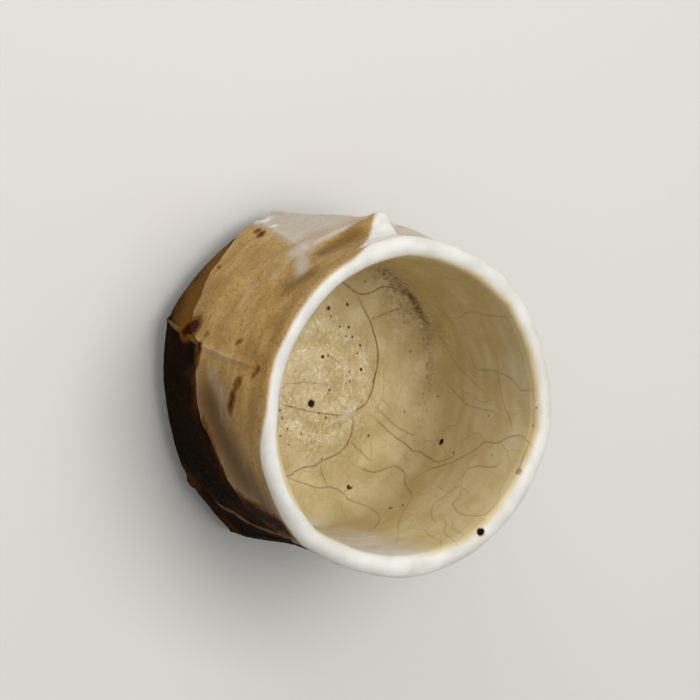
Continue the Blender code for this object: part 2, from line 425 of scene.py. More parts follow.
# Sockets of a Mix node that is set to colours, and settings that come up again and again.
FACTOR, UNDER, OVER = 0, 6, 7
BLEND = {"out": 2, "data_type": "RGBA"}
SMOOTH = {"interpolation_type": "SMOOTHSTEP"}
PLUS, TIMES, LARGER = {"operation": "ADD"}, {"operation": "MULTIPLY"}, {"operation": "MAXIMUM"}
TIMES_PLUS = {"operation": "MULTIPLY_ADD"}
TWO, THREE, ALL_FOUR = slice(0, 2), slice(0, 3), slice(0, 4)
PER_MM = 1 / MM
# Glaze colours that two finishes share, so that they meet on the lip without a seam.
TAN, TAN_PALE, TAN_DUSK, BROWN = "#a68549", "#bb985d", "#94723d", "#604118"
LIP_WHITE, LIP_GREY = "#e0ded7", "#d2cec5"
COLLAR = 0.25
print("tan is", [round(part, 3) for part in linear(TAN)[:3]])

# %% [markdown]
# ## Bare iron stoneware
# Below the hem the clay is bare. It is a coarse, iron-rich stoneware that fired nearly black, dry
# and gritty, with a rusty flash along the glaze and a worn brown edge on the torn ridges. Noise at
# two sizes gives the mottling and the grit, and the painted weights place the rest. Each shade has
# a node that says how much of it shows, and the shades are then laid one over the other.

# %% The clay's nodes
clay, tree, shader = new_look("iron_stoneware_bare", 0.8, 0.02)
place = add(tree, "TexCoord", {}, out=3)
_, coat, _, glazed = add(tree, "Attribute", {}, out=ALL_FOUR, attribute_name="coat")
flash, crest, stain_and_light = add(tree, "SeparateXYZ", {0: coat}, out=THREE)
iron = add(tree, "Attribute", {}, out=2, attribute_name="fifth")
cloud = add(tree, "TexNoise", {"Vector": place, "Scale": PER_MM / 7, "Detail": 4.0})
grit = add(tree, "TexNoise", {"Vector": place, "Scale": PER_MM / 0.7, "Detail": 3.0})
loose = add(tree, "Math", {0: cloud, 1: -0.5}, **PLUS)
# A brown stain; on the corner below the facet between ridges one and two it is painted light.
washed_and_lit = add(tree, "Math", {0: loose, 1: 0.9, 2: stain_and_light}, **TIMES_PLUS)
washed_and_lit = add(tree, "MapRange", {0: washed_and_lit, 1: 0.1, 2: 0.9}, **SMOOTH)
# Grains of sand about half a millimetre across, one in five cells of 1.3 mm.
distance, chance = add(tree, "TexVoronoi", {"Vector": place, "Scale": PER_MM / 1.3}, out=TWO)
chosen = add(tree, "MapRange", {0: chance, 1: 0.78, 2: 0.8})
sand = add(tree, "MapRange", {0: distance, 1: 0.26, 2: 0.14, 4: 0.4})
sand = add(tree, "Math", {0: sand, 1: chosen}, **TIMES)
patchy = add(tree, "MapRange", {0: cloud, 1: 0.4, 2: 0.62})
rust = add(tree, "Math", {0: patchy, 1: flash}, **TIMES)
worn = add(tree, "Math", {0: loose, 1: 1.2, 2: crest}, **TIMES_PLUS)
worn = add(tree, "MapRange", {0: worn, 1: 0.3, 2: 0.8}, **SMOOTH)
# Iron that bled out of the clay: an amber ring round a dark middle.
halo = add(tree, "MapRange", {0: iron, 1: 0.1, 2: 0.45, 4: 0.85}, **SMOOTH)
core = add(tree, "MapRange", {0: iron, 1: 0.6, 2: 0.95}, **SMOOTH)
colour = add(tree, "Mix", {FACTOR: cloud, UNDER: "#0d0602", OVER: "#1d1005"}, **BLEND)
for share, shade in (
    (washed_and_lit, "#6c4a1e"), (sand, "#5c4526"), (rust, "#62350d"), (worn, "#705430"),
    (halo, "#6f4306"), (core, "#300f00"), (glazed, LIP_GREY),
):
    colour = add(tree, "Mix", {FACTOR: share, UNDER: colour, OVER: shade}, **BLEND)
dry = add(tree, "MapRange", {0: grit, 1: 0.3, 2: 0.7, 3: 0.6, 4: 0.9})
bump = add(tree, "Bump", {"Height": grit, "Strength": 0.6, "Distance": 0.25 * MM})
dress(tree, shader, colour, dry, bump)
print("clay:", len(tree.nodes), "nodes")

# %% [markdown]
# ## Paint
# Where the glaze is white, milky or brown, and where iron came through, is laid on with soft brush
# strokes on the unrolled wall; some white, milky and brown strokes are painted highlight and
# painted shade. A stroke is kept as its two ends, its reach and its strength, so it is easy to move
# and it stays on the surface from every side.

# %% Strokes of iron, and the brush
# From and to (turn, depth in mm), reach in millimetres, strength.
IRON = (
    ((1.91, 37.0), (1.968, 41.4), 2.6, 1.2), ((2.02, 33.6), (2.08, 31.8), 1.3, 0.9),
    ((2.09, 11.0), (2.13, 12.4), 1.3, 0.75), ((2.17, 13.2), (2.25, 15.2), 1.5, 0.85),
    ((1.85, 14.2), (1.87, 15.6), 1.1, 0.42), ((1.47, 43.6), (1.47, 44.2), 0.9, 0.5),
    ((1.07, 45.4), (1.08, 44.4), 1.0, 0.75), ((1.07, 42.0), (1.09, 40.8), 1.1, 0.85),
    ((2.01, 5.0), (2.05, 6.2), 1.2, 0.42), ((2.39, 29.6), (2.49, 27.6), 1.7, 0.8),
    ((1.90, 29.2), (1.91, 30.4), 0.9, 0.4), ((5.40, 20.0), (5.41, 21.5), 1.2, 0.7),
    ((6.30, 33.0), (6.31, 36.0), 1.6, 0.9), ((7.50, 14.0), (7.50, 14.6), 1.0, 0.7),
    ((6.70, 12.0), (6.70, 12.4), 0.9, 0.6), ((4.72, 30.0), (4.80, 33.0), 1.6, 0.8),
)
NO_PAINT = (0, 0, 0, 0, 0)


def painted(strokes, angle, level):
    """The strongest of some soft brush strokes at a place on the wall."""
    best = 0.0
    for start, end, reach, strength in strokes:
        start = unrolled(*start)
        _, gap = beside(on_wall(angle, level, start), start, unrolled(*end))
        best = max(best, strength * faded(gap.length, reach))
    return best


print(len(IRON), "strokes of iron")

# %% [markdown]
# ## Clay body
# One wall of clay from the hollow inside the foot, round the base, up the facets, over the lip and
# down to the floor. Only the part below the glaze hem shows, so that part has the close rows.

# %% Weights of the bare clay
CREST_HALF = 0.02
# Bands round the cup, in turns: where each rises, is full, begins to fade and is gone.
WHITE_FOOT = (-0.15, 0.0, 1.0, 1.15)
# The brown on the clay's corner below the facet between ridges one and two is partly a stain and
# partly painted light, paler where that clay faces up.
BROWN_AND_LIT_CORNER = (1.1, 1.4, 1.98, 2.01)
CRUMB_SIDE = (2.9, 3.0, 3.9, 4.1)
CRUMB_DEPTH = (46.5, 48.5)
TORN_RIDGES = (2, 3)
TORN_WORN, OTHER_WORN = 0.85, 0.4
# Depths between which the crests past the second ridge lose this share of their worn edge.
CREST_LOST, LOST_SHARE = (38, 44), 0.8
WASH, WASH_MIDDLE, WASH_HALF, WASH_BELOW = 0.2, 2.93, 0.16, (2, 6)
CRUMBS = 0.35
FLASH_SIDE, FLASH_REACH, CORNER_REACH = (2.0, 2.1), 2.5, 12


def band(value, rise, full, fade, gone):
    """A smooth band: 0, up to 1 and back to 0."""
    return ramp(value, rise, full) * ramp(value, gone, fade)


def on_crest(turn):
    """How near a turn is to the crest of a ridge."""
    return faded(turn - round(turn), CREST_HALF)


def run_over(turn):
    """How much white glaze ran over the foot's sharp corner, under the horn."""
    return band(math.remainder(turn, len(RIDGES)), *WHITE_FOOT)


def bare_weights(turn, level, angle):
    """Weights of the bare clay: rusty flash, worn crest, stain that is painted light on one corner, white
    glaze, iron.
    """
    below = level - hem(turn) / MM
    number = round(turn)
    crest = on_crest(turn) * (TORN_WORN if number in TORN_RIDGES else OTHER_WORN)
    crest *= 1 - LOST_SHARE * ramp(level, *CREST_LOST) * eased(number - 2)
    corner = band(turn, *BROWN_AND_LIT_CORNER) * math.exp(-below / CORNER_REACH)
    wash = WASH * faded(turn - WASH_MIDDLE, WASH_HALF) * ramp(below, *WASH_BELOW)
    crumbs = CRUMBS * ramp(level, *CRUMB_DEPTH) * band(turn, *CRUMB_SIDE)
    flash = max(math.exp(-below / FLASH_REACH) * ramp(turn, *FLASH_SIDE), crumbs)
    return flash, crest, max(corner, wash), run_over(turn), painted(IRON, angle, level)


print("white over the foot under the horn:", round(run_over(0.1), 2))

# %% Rings of the outside
# A ring's last value is the turn; partial fixes the values before it.
GRIT, GRIT_SIZE, GRIT_FULL = 0.09, 1.1, 2.0


def level_ring(radius, height, turn):
    """A round ring at one height; radius 0 closes the skin in a point."""
    return ring_point(radius, outside(turn, GLAZE_TOP)[1], height), NO_PAINT


def bare_ring(share, turn):
    """A ring on the bare wall, from the facets' foot up to the glaze."""
    depth = FACET_FOOT + (hem(turn) - FACET_FOOT) * share
    point = wall_point(turn, depth, 0)
    rough = GRIT * MM * ramp((depth - hem(turn)) / MM, 0, GRIT_FULL)
    grit = rough * noise.noise(point / (GRIT_SIZE * MM))
    out = (point - AXIS).to_2d().normalized().to_3d()
    return point + out * grit, bare_weights(turn, depth / MM, outside(turn, depth)[1])


def covered_ring(share, turn):
    """A ring on the wall under the glaze."""
    return wall_point(turn, hem(turn) + (GLAZE_TOP - hem(turn)) * share, 0), NO_PAINT


def base_ring(share, turn):
    """A ring where the wall turns in under the facets."""
    point = wall_point(turn, FACET_FOOT, 0) - AXIS
    quarter = share * math.pi / 2
    radius = BASE_RADIUS + (point.to_2d().length - BASE_RADIUS) * math.cos(quarter)
    height = BASE_HEIGHT + (HEIGHT - FACET_FOOT - BASE_HEIGHT) * (1 - math.sin(quarter))
    paint = (0, 0, 0, run_over(turn) * ramp(share, 1 / 3, 0), 0)
    return ring_point(radius, math.atan2(point.y, point.x), height), paint


print("the wall turns in at", [round(part / MM, 1) for part in base_ring(0.5, 2)[0]])

# %% Rings of the lip and the inside
def lip_ring(roll, proud, turn):
    """A ring on the rolled lip: roll 0 faces out, a half turn faces in."""
    edge, angle = outside(turn, GLAZE_TOP)
    half = LIP_WALL / 2 + proud
    wider = MM * swell(angle, SEAM) * (1 + math.cos(roll)) / 2
    radius = edge - LIP_WALL / 2 + half * math.cos(roll) + wider
    return ring_point(radius, angle, LIP_CENTRE + half * math.sin(roll)), NO_PAINT


def bore_ring(share, proud, fillet, turn):
    """A ring on the inner wall, from the lip's outline down to a true round."""
    edge, angle = outside(turn, GLAZE_TOP)
    radius = edge - LIP_WALL
    radius += (BORE_RADIUS - radius) * math.sqrt(share) - proud
    end = FLOOR_HEIGHT + fillet
    return ring_point(radius, angle, LIP_CENTRE + (end - LIP_CENTRE) * share), NO_PAINT


def corner_ring(roll, proud, fillet, turn):
    """A ring on the fillet between the inner wall and the floor."""
    radius = BORE_RADIUS - fillet + (fillet - proud) * math.cos(roll)
    return level_ring(radius, FLOOR_HEIGHT + fillet - (fillet - proud) * math.sin(roll), turn)


def floor_ring(share, proud, fillet, turn):
    """A ring on the floor, which is a little crowned."""
    height = FLOOR_HEIGHT + proud + FLOOR_CROWN * eased(1 - share)
    return level_ring((BORE_RADIUS - fillet) * share, height, turn)


def inner_rings(proud, fillet, bore, corner, floor):
    """Rings from under the lip to the middle of the floor."""
    quarter = math.pi / 2
    rings = [partial(bore_ring, row / bore, proud, fillet) for row in range(1, bore + 1)]
    rings += [partial(corner_ring, row / corner * quarter, proud, fillet) for row in range(1, corner + 1)]
    return rings + [partial(floor_ring, 1 - row / floor, proud, fillet) for row in range(1, floor + 1)]


print("the lip's crown at", [round(part / MM, 1) for part in lip_ring(math.pi / 2, 0, 2)[0]])

# %% Build the clay body
FOOT_HOLLOW = 1.8 * MM
FOOT_NIB = 0.7 * MM
FOOT_SEAT = 23.2 * MM
BASE_ROWS, BARE_ROWS, COVERED_ROWS, LIP_ROWS = 8, 72, 30, 8
# Rows on the inner wall, the corner and the floor where the glaze hides them.
PLAIN_INSIDE = (12, 6, 4)
hollow = BASE_HEIGHT + FOOT_HOLLOW
rings = [
    partial(level_ring, 0, hollow - FOOT_NIB),
    partial(level_ring, FOOT_SEAT / 4, hollow),
    partial(level_ring, FOOT_SEAT * 3 / 4, hollow - FOOT_HOLLOW / 5),
    partial(level_ring, FOOT_SEAT, BASE_HEIGHT),
]
rings += [partial(base_ring, 1 - row / BASE_ROWS) for row in range(BASE_ROWS)]
rings += [partial(bare_ring, row / BARE_ROWS) for row in range(BARE_ROWS)]
rings += [partial(covered_ring, row / COVERED_ROWS) for row in range(COVERED_ROWS + 1)]
rings += [partial(lip_ring, row / LIP_ROWS * math.pi, 0) for row in range(1, LIP_ROWS + 1)]
rings += inner_rings(0, FLOOR_FILLET, *PLAIN_INSIDE)
piece("clay_body_fired", loft(rings), "clay_body", clay)

# %% [markdown]
# ## Tan facet glaze
# The outside got a thinner coat over the dark clay. Where it ran thick, on the lip, the horn and
# the fold that faces up, it stayed white. On the facets it is a cloudy tan that the brush laid
# round the cup, and where it thins to nothing at the hem the iron burns through as amber. The inner
# glaze shows the same tan and white where it meets this one, so two functions make them for both.

# %% What both glazes share
def brushed_tan(tree, place, cloud):
    """Brush marks, and how pale, pitted and dusky they leave the tan."""
    # Marks about 2.5 mm high and three times as long, lying round the cup, and pits of about 0.8 mm.
    drawn = add(tree, "Mapping", {0: place, 3: (0.33, 0.33, 1)})
    streak = add(tree, "TexNoise", {"Vector": drawn, "Scale": PER_MM / 2.5, "Detail": 3.0})
    tone = add(tree, "MapRange", {0: streak, 1: 0.32, 2: 0.68}, **SMOOTH)
    pitted = add(tree, "TexNoise", {"Vector": place, "Scale": PER_MM / 0.8, "Detail": 3.0})
    pit = add(tree, "MapRange", {0: pitted, 1: 0.48, 2: 0.72, 4: 0.5})
    dusk = add(tree, "MapRange", {0: cloud, 1: 0.5, 2: 0.3, 4: 0.5})
    return streak, tone, pit, dusk


def thick_white(tree, white, cloud, tone):
    """How much thick white covers the tan, with a cloudy edge, and its colour."""
    thick = add(tree, "Math", {0: cloud, 1: -0.5}, **PLUS)
    thick = add(tree, "Math", {0: thick, 1: 0.5, 2: white}, **TIMES_PLUS)
    thick = add(tree, "MapRange", {0: thick, 1: 0.1, 2: 0.9}, **SMOOTH)
    return thick, add(tree, "Mix", {FACTOR: tone, UNDER: LIP_GREY, OVER: LIP_WHITE}, **BLEND)


print("shared shades:", TAN, TAN_PALE, TAN_DUSK, BROWN, LIP_GREY, LIP_WHITE)

# %% The tan glaze's nodes: how much of each shade shows
tan, tree, shader = new_look("tan_facet_glaze", 0.35, 0.07)
place = add(tree, "TexCoord", {}, out=3)
_, coat, _, milk_and_painted_light = add(tree, "Attribute", {}, out=ALL_FOUR, attribute_name="coat")
white, thin, brown_and_shade = add(tree, "SeparateXYZ", {0: coat}, out=THREE)
iron = add(tree, "Attribute", {}, out=2, attribute_name="fifth")
cloud = add(tree, "TexNoise", {"Vector": place, "Scale": PER_MM / 8, "Detail": 3.0})
mottle = add(tree, "TexNoise", {"Vector": place, "Scale": PER_MM / 2, "Detail": 4.0})
streak, tone, pit, dusk = brushed_tan(tree, place, cloud)
# A speck of iron in one of eight cells of 3 mm.
distance, chance = add(tree, "TexVoronoi", {"Vector": place, "Scale": PER_MM / 3}, out=TWO)
chosen = add(tree, "MapRange", {0: chance, 1: 0.87, 2: 0.88, 4: 0.6})
speck = add(tree, "MapRange", {0: distance, 1: 0.13, 2: 0.06})
speck = add(tree, "Math", {0: speck, 1: chosen}, **TIMES)
# The veil lays the milk: milky glaze, painted highlight along the fold, painted shade past the horn.
veil_and_painted_light = add(tree, "Math", {0: streak, 1: cloud}, **PLUS)
veil_and_painted_light = add(tree, "Math", {0: veil_and_painted_light, 1: -1.0}, **PLUS)
veil_and_painted_light = add(tree, "Math", {0: veil_and_painted_light, 1: 0.4, 2: milk_and_painted_light}, **TIMES_PLUS)
veil_and_painted_light = add(tree, "MapRange", {0: veil_and_painted_light, 1: 0.07, 2: 1.0})
thick, pale = thick_white(tree, white, cloud, tone)
# Thin glaze goes amber and then burns; iron has an amber ring round a dark middle.
loose = add(tree, "Math", {0: mottle, 1: -0.5}, **PLUS)
worn = add(tree, "Math", {0: loose, 1: 0.8, 2: thin}, **TIMES_PLUS)
amber = add(tree, "MapRange", {0: worn, 1: 0.25, 2: 0.75}, **SMOOTH)
burnt = add(tree, "MapRange", {0: worn, 1: 0.7, 2: 1.0}, **SMOOTH)
ragged = add(tree, "Math", {0: loose, 1: 0.7, 2: iron}, **TIMES_PLUS)
halo = add(tree, "MapRange", {0: ragged, 1: 0.1, 2: 0.5, 4: 0.9}, **SMOOTH)
core = add(tree, "MapRange", {0: ragged, 1: 0.6, 2: 0.9}, **SMOOTH)
print("tan glaze:", len(tree.nodes), "nodes before the shades")

# %% The tan glaze's nodes: shades and skin
colour = add(tree, "Mix", {FACTOR: tone, UNDER: TAN, OVER: TAN_PALE}, **BLEND)
# The brown laid here is partly painted shade.
for share, shade in (
    (pit, BROWN), (speck, "#4a2c08"), (dusk, TAN_DUSK), (brown_and_shade, BROWN), (veil_and_painted_light, "#bfbab0"),
    (thick, pale), (amber, "#5e3608"), (burnt, "#280f02"), (halo, "#6e4000"), (core, "#351000"),
):
    colour = add(tree, "Mix", {FACTOR: share, UNDER: colour, OVER: shade}, **BLEND)
gloss = add(tree, "MapRange", {0: mottle, 1: 0.3, 2: 0.7, 3: 0.25, 4: 0.45})
gloss = add(tree, "Math", {0: halo, 1: 0.3, 2: gloss}, **TIMES_PLUS)
gloss = add(tree, "Math", {0: amber, 1: 0.4, 2: gloss}, **TIMES_PLUS)
bump = add(tree, "Bump", {"Height": mottle, "Strength": 0.4, "Distance": 0.12 * MM})
dress(tree, shader, colour, gloss, bump)
print("tan glaze:", len(tree.nodes), "nodes")

# %% [markdown]
# ## Outer glaze
# The coat runs from the lip's outer edge down to the hem, where it thins and rolls under. Its back
# is sunk a little into the clay, as a fused glaze is.

# %% Strokes on the outer coat
# From and to (turn, depth in mm), reach in millimetres, strength.
# White strokes on two beads low on the facet beside the horn: thick white glaze and painted highlight.
WHITE_AND_HIGHLIGHT_STROKES = (((0.66, 50.4), (0.70, 50.2), 2.2, 1.2), ((0.88, 41.5), (0.90, 41.5), 1.4, 1.0))
# Milky strokes. Those along the fold, from the facet after ridge one to the horn, are painted
# highlight on its crest; the rest are milky glaze.
MILK_AND_HIGHLIGHT_STROKES = (
    ((0.90, 19.6), (1.03, 19.2), 3.4, 0.8), ((1.03, 18.0), (1.13, 11.0), 2.4, 0.6),
    ((0.84, 17.2), (0.40, 16.7), 0.8, 0.9), ((0.40, 16.7), (0.13, 17.4), 0.8, 0.7),
    ((1.62, 21.7), (1.29, 23.3), 1.4, 0.15), ((1.29, 23.3), (1.10, 24.0), 1.5, 0.24),
    ((1.29, 19.0), (1.13, 20.0), 2.2, 0.22), ((2.13, 23.2), (2.21, 17.4), 4.5, 0.2),
    ((6.2, 16.0), (6.6, 26.0), 7.0, 0.5), ((5.1, 10.0), (5.3, 14.0), 6.0, 0.4),
    ((7.2, 30.0), (7.4, 36.0), 6.5, 0.4),
)
# Brown strokes. The one in the hollow between the fold and the lip, and the two wide ones on the facet
# between ridges two and three, are painted shade.
BROWN_AND_SHADE_STROKES = (
    ((0.35, 13.0), (0.85, 11.8), 3.6, 0.75), ((1.12, 7.0), (1.30, 10.0), 3.4, 0.7),
    ((2.6, 13.0), (2.92, 8.0), 7.0, 0.95), ((2.27, 25.0), (2.64, 15.0), 8.0, 1.0),
    ((1.6, 40.0), (1.85, 37.0), 4.0, 0.4), ((1.86, 10.0), (2.0, 6.0), 3.0, 0.3),
    ((5.6, 30.0), (6.0, 38.0), 6.0, 0.5), ((7.6, 44.0), (7.2, 42.0), 5.0, 0.5),
)
BURNT = (((2.02, 31.6), (2.09, 32.2), 1.8, 1.2), ((2.52, 27.5), (2.70, 25.0), 1.8, 0.8))
print(len(WHITE_AND_HIGHLIGHT_STROKES + MILK_AND_HIGHLIGHT_STROKES + BROWN_AND_SHADE_STROKES + BURNT), "strokes on the outer coat")

# %% White behind the horn, and the scorched band
# Depth of the fold and horn, how it slants round the cup, and how soft the white's edge on it is.
FOLD_DEPTH, FOLD_SLANT, FOLD_SOFT = 16.4, 0.8, 1.4
BEHIND_SIDE, BEHIND_DEEP, BEHIND_LEAST = (1.08, 0.96), (19, 29), 0.62
PAST_HORN = 7 / 39
FACE_EDGE, FACE_SLANT, FACE_SOFT, FACE_SIDE = 0.07, 0.04, 0.12, (-0.9, -0.4)
# Past the horn the white is left off, so only the greyer veil shows there: painted shade.
WHITE_SIDE = (-0.12, -0.02)
MILK_BEHIND, MILK_FACE, WHITE_FACE = 0.75, 0.8, 0.95
RUN_DEPTH, RUN_VARIES, RUN_SOFT = 15, 9, 8
RUN_WIDTH, RUN_SEED, RUN_LENGTH, RUN_SIDE = 0.2, 2.6, 12, (0, -0.25)
SCORCH, SCORCH_MIDDLE, SCORCH_HALF, SCORCH_TOP = 1.15, 2.80, 0.085, (3, 6)
SCORCH_SLANT, SCORCH_DEPTH = 0.0052, 24.5


def horn_white(turn, level):
    """How much milk and white lie behind the fold and on the horn's face to the mouth; past the horn,
    greyer milk as painted shade.
    """
    near = turn if turn < len(RIDGES) / 2 else turn - len(RIDGES)
    behind = ramp(level - FOLD_SLANT * near, FOLD_DEPTH, FOLD_DEPTH + FOLD_SOFT)
    behind *= ramp(near, *BEHIND_SIDE) * faded(max(-near, 0), PAST_HORN)
    behind *= BEHIND_LEAST + (1 - BEHIND_LEAST) * ramp(level, *BEHIND_DEEP)
    edge = FACE_EDGE + FACE_SLANT * (FOLD_DEPTH - level)
    uneven = noise.noise(Vector((near / RUN_WIDTH, RUN_SEED, level / RUN_LENGTH)))
    run = RUN_DEPTH + RUN_VARIES * uneven * ramp(near, *RUN_SIDE)
    face = ramp(near, edge, edge - FACE_SOFT) * ramp(near, *FACE_SIDE) * ramp(level, run + RUN_SOFT, run)
    return max(MILK_BEHIND * behind, MILK_FACE * face), WHITE_FACE * face * ramp(near, *WHITE_SIDE)


def scorched(turn, level):
    """A band of burnt glaze that runs down beside the lowest torn ridge."""
    middle = SCORCH_MIDDLE + SCORCH_SLANT * (SCORCH_DEPTH - level)
    return SCORCH * faded(turn - middle, SCORCH_HALF) * ramp(level, *SCORCH_TOP)


print("the horn's face is", round(horn_white(0, 14)[1], 2), "white")

# %% White on the lip
# Sides of the lip in degrees: the tan one, the open one and the low one.
TAN_SIDE, OPEN_SIDE, LOW_SIDE = (204, 218, 278, 300), (5, 30, 175, 195), (278, 290, 313, 325)
# Millimetres over the lip from the seam where the white starts and ends, how far each side moves
# that, and how soft the edges are.
WHITE_START, TAN_MOVES, START_SOFT = -0.4, 3.0, 1.5
WHITE_END, OPEN_MOVES, LOW_MOVES = 6.2, -0.6, -1.6
END_SOFT, OPEN_SOFTER = 0.9, 1.1
WHITEST = 1.2


def lip_white(path, angle):
    """How white the lip is, path being the way over it from the seam, in millimetres."""
    way = math.degrees(angle) % 360
    open_side = band(way, *OPEN_SIDE)
    start = WHITE_START + TAN_MOVES * band(way, *TAN_SIDE)
    end = WHITE_END + OPEN_MOVES * open_side + LOW_MOVES * band(way, *LOW_SIDE)
    soft = END_SOFT + OPEN_SOFTER * open_side
    return WHITEST * band(path, start - START_SOFT, start + START_SOFT, end - soft, end + soft)


print("white on the lip's crown:", [round(lip_white(3.9, math.radians(way)), 2) for way in (0, 120, 240)])

# %% Rings of the outer coat
GLAZED_ROWS, BACK_ROWS = 100, 12
TUCK = -0.25 * MM
# The coat thins over this many millimetres above its hem, down to a tenth, and over a quarter of
# that where the hem reaches the foot's corner.
HEM_TAPER, HEM_LEAST, CORNER_HEM, CORNER_SHORTER = 2.2, 0.1, (50.6, 51.6), 0.75
AMBER, AMBER_HEM, AMBER_REACH = 1.15, (51.5, 48.5), 1.1
CREST_MILK, CREST_THIN, CREST_DEPTH = 0.22, 0.2, (9, 15)
COLLAR_DEPTH, COLLAR_ALONE = (11, 4), (3.5, 2.5)


def outer_weights(turn, level, angle):
    """Weights of the outer coat: white, thin, darker tan, milk and iron; some are painted highlight and
    painted shade.
    """
    above = hem(turn) / MM - level
    crest = on_crest(turn) * ramp(level, *CREST_DEPTH)
    milk_and_painted_light, white = horn_white(turn, level)
    milk_and_painted_light = max(milk_and_painted_light, painted(MILK_AND_HIGHLIGHT_STROKES, angle, level), CREST_MILK * crest)
    white = max(white, painted(WHITE_AND_HIGHLIGHT_STROKES, angle, level), lip_white(SEAM - level, angle))
    edge = AMBER * ramp(hem(turn) / MM, *AMBER_HEM) * math.exp(-above / AMBER_REACH)
    burnt = max(edge, painted(BURNT, angle, level), scorched(turn, level))
    thin = max(burnt, CREST_THIN * crest * (1 - min(max(white, milk_and_painted_light), 1)))
    # The brown strokes are partly painted shade. The tan comes up to the seam in the shade of the inner
    # glaze's collar.
    brown_and_shade = max(painted(BROWN_AND_SHADE_STROKES, angle, level), COLLAR * ramp(level, *COLLAR_DEPTH))
    brown_and_shade += (COLLAR - brown_and_shade) * ramp(level, *COLLAR_ALONE)
    return white, thin, brown_and_shade, milk_and_painted_light, painted(IRON, angle, level)


def glaze_ring(share, turn):
    """A ring on the face of the outer coat."""
    depth = GLAZE_TOP + (hem(turn) - GLAZE_TOP) * share
    above = (hem(turn) - depth) / MM
    reach = HEM_TAPER * (1 - CORNER_SHORTER * ramp(hem(turn) / MM, *CORNER_HEM))
    taper = HEM_LEAST + (1 - HEM_LEAST) * math.sqrt(min(above / reach, 1.0))
    point = wall_point(turn, depth, PROUD * taper)
    return point, outer_weights(turn, depth / MM, outside(turn, depth)[1])


def tucked_ring(share, turn):
    """A ring on the back of the outer coat, inside the clay."""
    return wall_point(turn, GLAZE_TOP + (hem(turn) - GLAZE_TOP) * share, TUCK), NO_PAINT


rings = [partial(glaze_ring, row / GLAZED_ROWS) for row in range(GLAZED_ROWS + 1)]
rings += [partial(tucked_ring, 1 - row / BACK_ROWS) for row in range(BACK_ROWS + 1)]
rings.append(rings[0])
piece("outer_glaze_fired", loft(rings), "outer_glaze", tan)

# %% [markdown]
# ## Inner glaze
# The inner coat starts where the outer one does, rolls over the lip, and lines the wall and floor.
# It pooled in the corner, so the wall runs into the floor in one sweep. Fingers left low rings in
# the wall and a swirl on the floor, which the glaze softened, and the floor's skin is pebbled.

# %% The inside pressed flat
LINER_FLOOR = FLOOR_HEIGHT + PROUD
# Strokes on the flattened inside: from and to in millimetres, reach, strength.
SOIL = (
    ((-32.4, 21.4), (-28.6, 25.1), 2.2, 1.0), ((-28.6, 25.1), (-25.2, 28.8), 2.0, 0.85),
    ((-37.8, 10.8), (-32.7, 18.5), 4.5, 0.6), ((-13.5, 32.9), (-7.9, 34.3), 1.8, 0.42),
    ((-32.7, 18.5), (-32.4, 21.4), 3.0, 0.8), ((-25.2, 28.8), (-13.5, 32.9), 1.8, 0.36),
    ((-30.0, 16.0), (-24.0, 22.0), 4.5, 0.3), ((-7.9, 34.3), (4.0, 34.0), 1.8, 0.22),
    ((-34.0, 16.0), (-24.0, 30.0), 6.5, 0.4),
)
SWIRL = (((9.6, 5.2), (3.2, 12.8), 1.2, 0.32),)
# Pale dots where the floor's glaze stood thick and milky, set where the floor glints: partly curds, partly
# painted glints.
CURDS_AND_GLINTS = (
    ((9.9, 4.6), (9.0, 6.0), 0.8, 0.42), ((8.2, 6.9), (7.4, 7.6), 0.6, 0.5),
    ((7.4, 8.8), (6.2, 9.4), 0.9, 0.4), ((4.6, 11.0), (3.8, 12.2), 0.8, 0.45),
    ((2.8, 12.2), (2.0, 13.0), 0.6, 0.4), ((5.4, 10.4), (5.0, 9.8), 0.5, 0.5),
    ((-22.4, -2.2), (-21.8, -1.4), 0.7, 0.4), ((-17.2, -4.7), (-16.8, -4.0), 0.6, 0.45),
    ((-15.2, 4.8), (-14.4, 5.4), 0.6, 0.45), ((-19.4, 0.8), (-18.9, 1.6), 0.5, 0.45),
    ((-12.2, 7.8), (-11.6, 8.2), 0.5, 0.45), ((-5.2, -3.2), (-4.6, -2.4), 0.6, 0.35),
)


def flattened(point):
    """A point of the inside pressed flat: floor as it is, wall laid out round it. Millimetres."""
    flat = Vector((point.x - AXIS.x, point.y - AXIS.y))
    rise = max(point.z - LINER_FLOOR, 0)
    return flat * ((flat.length + rise) / max(flat.length, 1e-9)) / MM


def stroked(strokes, flat):
    """The strongest of some soft strokes at a place on the flattened inside."""
    best = 0.0
    for start, end, reach, strength in strokes:
        _, gap = beside(flat, Vector(start), Vector(end))
        best = max(best, strength * faded(gap.length, reach))
    return best


print("the rim lies", round(flattened(ring_point(LIP_RADIUS, 0, HEIGHT)).length), "mm from the middle")

# %% Weights and marks of the inner glaze
# Directions in degrees: middle and half width of the milky wall, whose milk is partly a painted sheen, and
# of a faint bloom.
MILK_AND_SHEEN_SIDE, BLOOM_SIDE = (4, 22), (122, 36)
